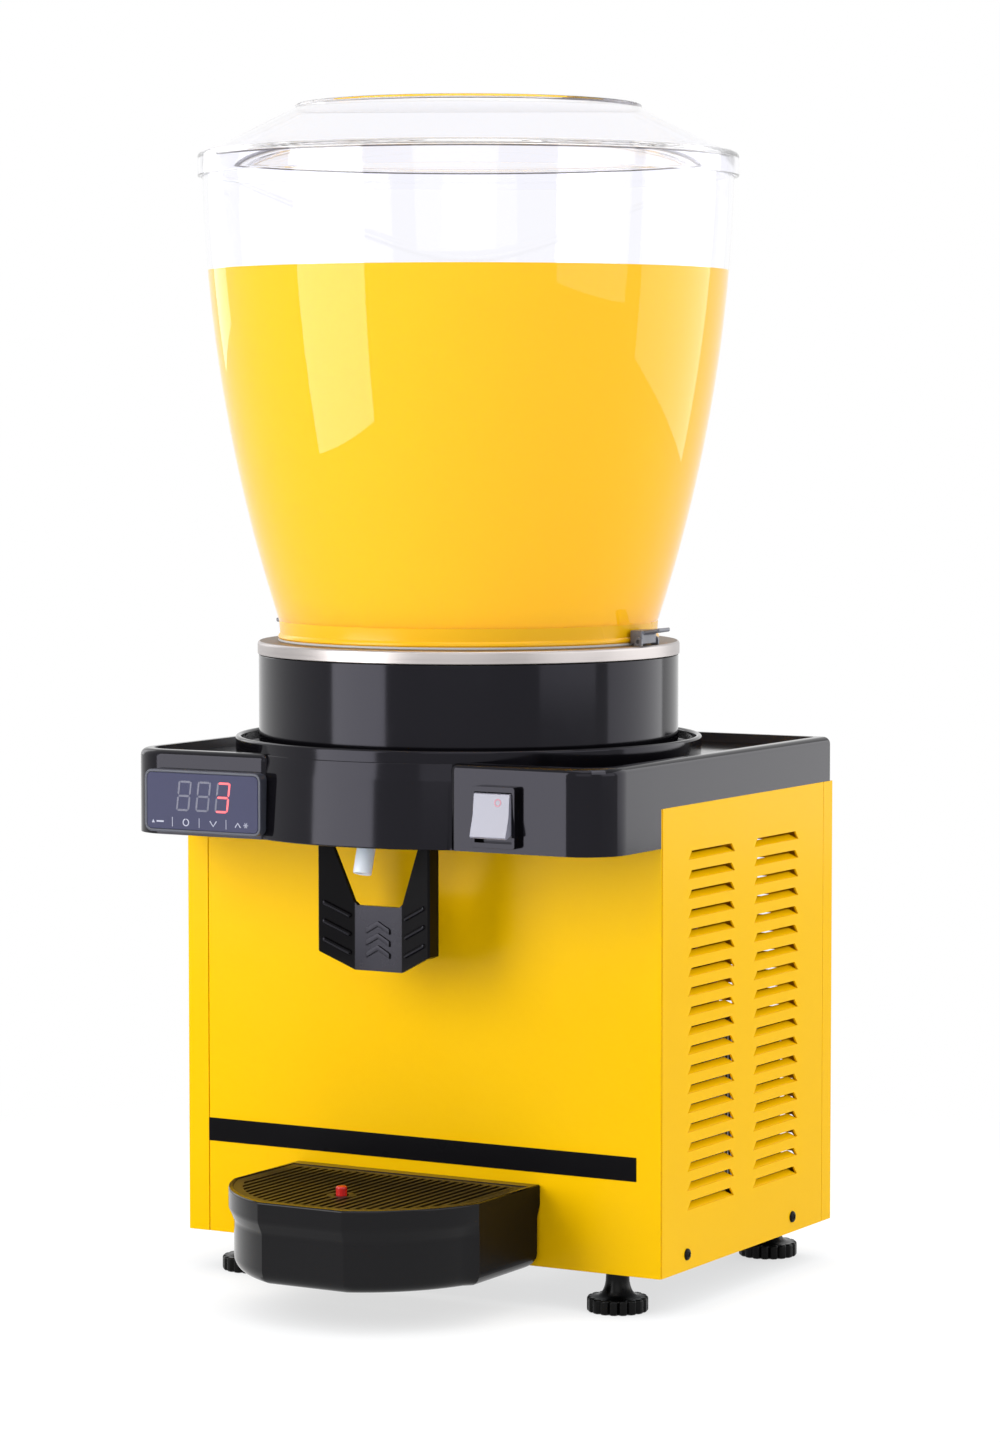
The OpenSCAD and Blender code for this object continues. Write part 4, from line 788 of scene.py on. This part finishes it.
# Push lever with raised chevrons
leverShape = {"edge": 0.7, "front": -89, "proud": 0.9, "chevrons": (189, 195.5, 202), "wide": 15,
              "stroke": 3, "rise": 4.2}
lever = easedCopy("tap_lever", "pushLever", leverShape["edge"], 3, 30, 40)
marks = []
for z in leverShape["chevrons"]:
    half, s, rise = leverShape["wide"] / 2, leverShape["stroke"], leverShape["rise"]
    outline = [(-half, z), (0, z + rise), (half, z), (half, z + s), (0, z + rise + s), (-half, z + s)]
    mark = pushOutline("chevron", outline, leverShape["front"] + 0.4,
                       leverShape["front"] - leverShape["proud"])
    marks.append(softenEdges(mark, 0.35, 2))
joinInto(lever, *marks)
place(lever, "lever", "matt_black", leverBlack, "tap_lever")
# painted shade: the lever's side wings get the darker, less glossy black
secondFinish(lever, wingBlack, lambda p, n: abs(n.x) > 0.25)
print("tap made")

# Temperature controller
controlShape = {"x": -94.4, "z": 271, "wide": 75, "high": 34, "front": -117.0, "corner": 4.5, "lip": 1.6,
                "sunk": 0.9, "caseHalf": (33, 14.2), "caseBack": -69, "glass": (-115.9, -117.05),
                "mark": (-117.0, -117.12)}


def roundedBox(name, x, z, wide, high, corner, back, front, steps=8):
    w, h = wide / 2, high / 2
    corners = [(x + w, z - h, corner), (x + w, z + h, corner), (x - w, z + h, corner), (x - w, z - h, corner)]
    return pushOutline(name, roundCorners(corners, steps), back, front)


def makeBezel():
    c = controlShape
    bezel = roundedBox("controllerBezel", c["x"], c["z"], c["wide"], c["high"], c["corner"], earY + 1.5,
                       c["front"])
    editMode(bezel)
    pickFaces(lambda p, n: n.y < -0.9)
    ops.mesh.inset(thickness=c["lip"] * mm)
    growFaces(0, c["sunk"], 0)
    mergeDoubles()
    softenEdges(bezel, 0.5, 3, 40, 40)
    w, h = c["caseHalf"]
    case = addBox("case", (c["x"] - w, earY - 0.5, c["z"] - h), (c["x"] + w, c["caseBack"], c["z"] + h))
    return joinInto(bezel, softenEdges(case, 0.8, 2))


place(makeBezel(), "cabinet", "matt_black", bezelGrey, "controller_case")
c = controlShape
window = roundedBox("controllerWindow", c["x"], c["z"], c["wide"] - 2 * c["lip"] - 0.1,
                    c["high"] - 2 * c["lip"] - 0.1, c["corner"] - c["lip"], *c["glass"])
softenEdges(window, 0.35, 3, 40, 40)
place(window, "cabinet", "display", windowDark, "controller_window")

digitShape = {"lefts": (-111.4, -98.9, -86.4), "low": 265.8, "wide": 8.6, "high": 16.6, "bar": 1.15,
              "gap": 0.25, "slant": 0.12, "lit": (2, ("a", "b", "c", "d", "g"))}


def barOutline(name, left, low):
    d = digitShape
    w, h, t, g = d["wide"], d["high"], d["bar"], d["gap"]
    cut = t / 2
    across = {"a": h - t, "g": (h - t) / 2, "d": 0}
    upright = {"b": (w - t, h / 2), "c": (w - t, 0), "f": (0, h / 2), "e": (0, 0)}
    if name in across:
        z = across[name]
        points = [(g + cut, z + cut), (2 * cut + g, z), (w - 2 * cut - g, z), (w - cut - g, z + cut),
                  (w - 2 * cut - g, z + t), (2 * cut + g, z + t)]
    else:
        x, z = upright[name]
        points = [(x + cut, z + g + cut * 0.4), (x + t, z + g + t), (x + t, z + h / 2 - g - cut),
                  (x + cut, z + h / 2 - g), (x, z + h / 2 - g - cut), (x, z + g + t)]
    return [(left + px + pz * d["slant"], low + pz) for px, pz in points]


def glowMaterial(name, colour, strength):
    material = grainMaterial(name, colour, [v * 0.92 for v in colour], (0.3, 0.4), 1500, 200, 0.02)
    shader = material.node_tree.nodes["Principled BSDF"]
    shader.inputs["Emission Color"].default_value = linear(colour)
    shader.inputs["Emission Strength"].default_value = strength
    return material


litSegment = glowMaterial("litSegment", (240, 84, 92), 0.75)
dimSegment = grainMaterial("dimSegment", (80, 81, 104), (75, 76, 99), (0.25, 0.35), 1500, 200, 0.02)
iconPaint = glowMaterial("iconPaint", (170, 172, 190), 0.05)
litBars, dimBars = [], []
for digit, left in enumerate(digitShape["lefts"]):
    for bar in "abcdefg":
        segment = pushOutline("segment", barOutline(bar, left, digitShape["low"]), *controlShape["mark"])
        lit = digit == digitShape["lit"][0] and bar in digitShape["lit"][1]
        (litBars if lit else dimBars).append(segment)
place(joinAs("litDigit", litBars), "cabinet", "display", litSegment)
place(joinAs("dimDigits", dimBars), "cabinet", "display", dimSegment)

iconShape = {"row": 259.7, "bars": (-113.7, -96.3, -78.9), "icons": (-123.6, -104.9, -87.2, -69.6),
             "size": 3.6, "stroke": 0.6, "dash": 0.9, "bar": 0.35, "ray": 0.4}


def strokePiece(points, stroke):
    near, far = [], []
    for i, point in enumerate(points):
        before, after = Vector(points[max(i - 1, 0)]), Vector(points[min(i + 1, len(points) - 1)])
        along = (after - before).normalized()
        aside = Vector((-along.y, along.x)) * stroke / 2
        near.append(tuple(Vector(point) + aside))
        far.append(tuple(Vector(point) - aside))
    return pushOutline("iconStroke", near + far[::-1], *controlShape["mark"])


def makeIcons():
    s = iconShape
    z, half, stroke = s["row"], s["size"] / 2, s["stroke"]
    first, second, third, fourth = s["icons"]
    wedge = [(first - 3.6, z - 0.9), (first - 1.6, z - 0.9), (first - 2.6, z + 0.9)]
    ring = arcPoints((second, z), half, 100, 440, 17)
    down = [(third - half * 1.2, z + half * 0.8), (third, z - half * 0.8),
            (third + half * 1.2, z + half * 0.8)]
    up = [(fourth - half * 1.9, z - half * 0.7), (fourth - half, z + half * 0.6), (fourth, z - half * 0.7)]
    pieces = [strokePiece([(x, z - 2.6), (x, z + 2.6)], s["bar"]) for x in s["bars"]]
    pieces.append(pushOutline("iconSolid", wedge, *controlShape["mark"]))
    pieces.append(strokePiece([(first - 0.4, z), (first + 4.2, z)], s["dash"]))
    pieces += [strokePiece(line, stroke) for line in (ring, down, up)]
    for t in (0, 60, 120):
        dx, dz = 1.5 * math.cos(math.radians(t)), 1.5 * math.sin(math.radians(t))
        pieces.append(strokePiece([(fourth + 3.4 - dx, z - dz), (fourth + 3.4 + dx, z + dz)], s["ray"]))
    return joinAs("panelIcons", pieces)


place(makeIcons(), "cabinet", "display", iconPaint)
print("controller made")

# Switch
switchFrame = easedCopy("switch_frame", "switchBezel", 0.45, 3, 40)
place(switchFrame, "cabinet", "gloss_black", glossBlack, "switch_frame")
rocker = easedCopy("switch_rocker", "switchRocker", 0.5, 3, 40)
place(rocker, "rocker", "rocker_white", rockerWhite, "switch_rocker")
markShape = {"at": (90.5, -117.76, 279.08), "lean": 83.3, "ring": (1.45, 2.05), "proud": 0.12}
inner, outer = markShape["ring"]
proud = markShape["proud"]
mark = turnProfile("rockerMark", [(inner, -0.2), (outer, -0.2), (outer, proud), (inner, proud)], 40, (0, 0))
settle(mark, markShape["at"], Matrix.Rotation(math.radians(markShape["lean"]), 4, "X"))
place(mark, "rocker", "rocker_white", markPink)
print("switch made")

# Drip tray, its grid and the red level pin
trayShape = {"half": 77, "reach": 121, "curve": 92, "centre": (-10.12, -36.36), "top": 67, "band": 56,
             "cove": 6.5, "shoulder": 3, "base": 22, "round": 8, "insideRound": 9, "rimEdge": 1,
             "bandEdge": 1.2, "wall": 2.5, "back": 9.5, "gap": 0.7, "seat": 63, "pinY": -127,
             "guide": (2, 23, 33), "pocketHalf": 70, "pockets": ((-2.7, 62), (3, 54))}


def trayOutline(inset, back, steps=14):
    t = trayShape
    r = t["curve"] - inset
    cx, cy = t["centre"]
    left, front = t["half"] - inset, -t["reach"] + inset
    topAngle = math.degrees(math.asin(max(-1, (front - cy) / r)))
    sideAngle = -math.degrees(math.acos((left - cx) / r))
    points = [Vector((left, -back))]
    points += arcPoints(t["centre"], r, sideAngle, topAngle, steps)
    mirrored = [Vector((-p.x, p.y)) for p in reversed(points)]
    return [(p.x, p.y + panelY) for p in points + mirrored]


def makeTray():
    t = trayShape
    tray = standOutline("dripTray", trayOutline(0, t["gap"]), t["band"], t["top"])
    editMode(tray)
    pickFaces(lambda p, n: n.z < -0.9)
    ops.mesh.inset(thickness=t["shoulder"] * mm, depth=t["cove"] * mm)
    growFaces(0, 0, t["base"] - t["band"] + t["cove"])
    for side in (-1, 1):  # the straight sides stay flush
        pickPoints(lambda p: side * p.x > t["half"] - t["shoulder"] - 0.2 and p.z < t["band"] - 0.5)
        ops.transform.translate(value=(side * t["shoulder"] * mm, 0, 0))
    pickEdges(lambda a, b: abs(a.z - t["base"]) < 0.01 and abs(b.z - t["base"]) < 0.01)
    ops.mesh.bevel(offset=t["round"] * mm, segments=8, affect="EDGES", clamp_overlap=False)
    pickEdges(lambda a, b: abs(a.z - t["top"]) < 0.01 and abs(b.z - t["top"]) < 0.01)
    ops.mesh.bevel(offset=t["rimEdge"] * mm, segments=3, affect="EDGES")
    for level in (t["band"], t["band"] - t["cove"]):
        pickEdges(lambda a, b: abs(a.z - level) < 0.01 and abs(b.z - level) < 0.01)
        ops.mesh.bevel(offset=t["bandEdge"] * mm, segments=3, affect="EDGES")
    mergeDoubles()
    objectMode()
    inside = standOutline("inside", trayOutline(t["shoulder"] + t["wall"], t["back"]), t["base"] + t["wall"],
                          t["seat"] + 1)
    editMode(inside)
    pickEdges(lambda a, b: max(a.z, b.z) < t["base"] + t["wall"] + 0.01)
    ops.mesh.bevel(offset=t["insideRound"] * mm, segments=5, affect="EDGES", clamp_overlap=False)
    mergeDoubles()
    objectMode()
    seat = standOutline("seat", trayOutline(t["wall"], t["back"]), t["seat"], t["top"] + 5)
    half = t["pocketHalf"]
    pockets = [addBox("pocket", (-half, panelY - 7, 10), (half, panelY + back, high))
               for back, high in t["pockets"]]
    cutAway(tray, inside, seat, *pockets)
    r, low, high = t["guide"]
    guide = turnProfile("guide", [(0, low), (r, low), (r, high), (0, high)], 24, (0, t["pinY"]))
    joinInto(tray, guide)
    smooth(tray, 16)
    return tray


tray = makeTray()
place(tray, "tray", "gloss_black", trayBlack, "drip_tray")
# painted shade: the tray's flat sides get the less glossy black
secondFinish(tray, wingBlack, lambda p, n: abs(n.x) > 0.95)
grid = easedCopy("tray_grid", "trayGrid", 0.5, 2, 40)
place(grid, "grid", "matt_black", gridBlack, "tray_grid")
levelShape = roundCorners([(2.05, 24.8, 0), (9, 24.8, 0.6), (9, 36.8, 0.8), (3, 36.8, 0.4), (3, 71.5, 1.1),
                           (0, 71.5, 0), (0, 36.8, 0), (2.05, 36.8, 0)], 4)
level = turnProfile("levelPin", levelShape, 40, (0, trayShape["pinY"]))
place(level, "level", "red_plastic", redPlastic, "level_float")
print("tray made")

# CAD nodes that keep their shape get a finish of their own
finishes = {
    zincSteel: ("base_pan", "foot_nuts", "deck_plate", "magnet_drive", "lever_pin", "lever_spring",
                "tray_hook"),
    copperTube: ("cooling_coil", "filter_dryer", "discharge_line", "liquid_line", "suction_line",
                 "capillary_line"),
    mattBlack: ("fan_shroud", "fan_blade", "tap_bracket"), motorGrey: ("stir_motor", "fan_motor"),
    foamCream: ("pan_insulation",), whitePlastic: ("paddle",), blackEnamel: ("compressor",),
    mountRubber: ("pump_mounts",), finAluminium: ("condenser",), boxPlastic: ("control_box",),
    clipGrey: ("clip_pins",)}
for material, names in finishes.items():
    for name in names:
        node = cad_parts[name]
        node.data.materials.clear()
        node.data.materials.append(material)
print("finishes set")


# Floor, lights and world: camera, gloss and clear walls see white, all else the plain level

def seenRays(tree):
    path = tree.nodes.new("ShaderNodeLightPath")
    seen = path.outputs["Is Camera Ray"]
    for ray in ("Is Glossy Ray", "Is Transmission Ray"):
        larger = tree.nodes.new("ShaderNodeMath")
        larger.operation = "MAXIMUM"
        wire(tree.links, (seen, larger.inputs[0]), (path.outputs[ray], larger.inputs[1]))
        seen = larger.outputs["Value"]
    return seen


def chooseByRay(tree, plain, seen, target):
    choose = tree.nodes.new("ShaderNodeMixShader")
    wire(tree.links, (seenRays(tree), choose.inputs["Fac"]), (plain, choose.inputs[1]),
         (seen, choose.inputs[2]), (choose.outputs["Shader"], target))


stageShape = {"floor": 12, "colour": (0.66, 0.7, 0.76, 1), "seen": (0.12, 0.125, 0.13, 1), "lift": (0.6, 1),
              "contact": 0.05, "fade": (0.24, 0.66), "rough": 0.35}
ops.object.select_all(action="DESELECT")
ops.mesh.primitive_plane_add(size=stageShape["floor"], location=(0, 0, 0))
floor = bpy.context.object
floor.name = "paleFloor"
floorMaterial = bpy.data.materials.new("paleFloor")
floorMaterial.use_nodes = True
tree = floorMaterial.node_tree
nodes = tree.nodes
shader = nodes["Principled BSDF"]
shader.inputs["Base Color"].default_value = stageShape["colour"]
shader.inputs["Roughness"].default_value = stageShape["rough"]
paintedContactShade = nodes.new("ShaderNodeAmbientOcclusion")  # painted shade: the floor's glow dims by ambient occlusion where the feet and tray stand close
paintedContactShade.inputs["Distance"].default_value = stageShape["contact"]
lift = nodes.new("ShaderNodeMapRange")
lift.inputs["To Min"].default_value, lift.inputs["To Max"].default_value = stageShape["lift"]
glow = nodes.new("ShaderNodeEmission")
soft = nodes.new("ShaderNodeBsdfDiffuse")
soft.inputs["Color"].default_value = stageShape["seen"]
near = nodes.new("ShaderNodeAddShader")
far = nodes.new("ShaderNodeEmission")
both = nodes.new("ShaderNodeMixShader")
where = nodes.new("ShaderNodeTexCoord")
reach = nodes.new("ShaderNodeVectorMath")
reach.operation = "LENGTH"
fade = nodes.new("ShaderNodeMapRange")
fade.interpolation_type = "SMOOTHSTEP"
fade.inputs["From Min"].default_value, fade.inputs["From Max"].default_value = stageShape["fade"]
wire(tree.links, (paintedContactShade.outputs["AO"], lift.inputs["Value"]),
     (lift.outputs["Result"], glow.inputs["Strength"]),
     (where.outputs["Object"], reach.inputs[0]), (reach.outputs["Value"], fade.inputs["Value"]),
     (fade.outputs["Result"], both.inputs["Fac"]), (soft.outputs["BSDF"], near.inputs[0]),
     (glow.outputs["Emission"], near.inputs[1]), (near.outputs["Shader"], both.inputs[1]),
     (far.outputs["Emission"], both.inputs[2]))
chooseByRay(tree, shader.outputs["BSDF"], both.outputs["Shader"], nodes["Material Output"].inputs["Surface"])
floor.data.materials.append(floorMaterial)

# Azimuth, distance, height, size, power and the height aimed at
lamps = {"frontSoftbox": (-30, 1.25, 0.62, (0.75, 1.15), 13.2, 0.5),
         "rightSoftbox": (135, 2.2, 0.9, (2.2, 2.0), 23, 0.4),
         "leftSoftbox": (-110, 2.4, 1.2, (0.8, 1.8), 6.5, 0.4),
         "overhead": (60, 0.4, 2.4, (2.0, 2.0), 21, 0.3),
         "frontFill": (25, 2.3, 1.0, (1.5, 1.5), 6, 0.3),
         "sideFill": (85, 2.3, 0.9, (1.5, 1.5), 11, 0.3)}
for name, (azimuth, distance, height, size, power, aim) in lamps.items():
    angle = math.radians(azimuth)
    spot = Vector((math.sin(angle) * distance, -math.cos(angle) * distance, height))
    ops.object.light_add(type="AREA", location=spot)
    light = bpy.context.object
    light.name = name
    light.data.shape = "RECTANGLE"
    light.data.size, light.data.size_y = size
    light.data.energy = power
    light.rotation_euler = (Vector((0, 0, aim)) - spot).to_track_quat("-Z", "Y").to_euler()

roomShape = {"fill": (0.31, 0.31, 0.32, 1), "white": (1, 1, 1, 1)}
world = bpy.data.worlds.new("studio")
scene.world = world
world.use_nodes = True
nodes = world.node_tree.nodes
room = nodes["Background"]
room.inputs["Color"].default_value = roomShape["fill"]
white = nodes.new("ShaderNodeBackground")
white.inputs["Color"].default_value = roomShape["white"]
chooseByRay(world.node_tree, room.outputs["Background"], white.outputs["Background"],
            nodes["World Output"].inputs["Surface"])
print("stage lit")
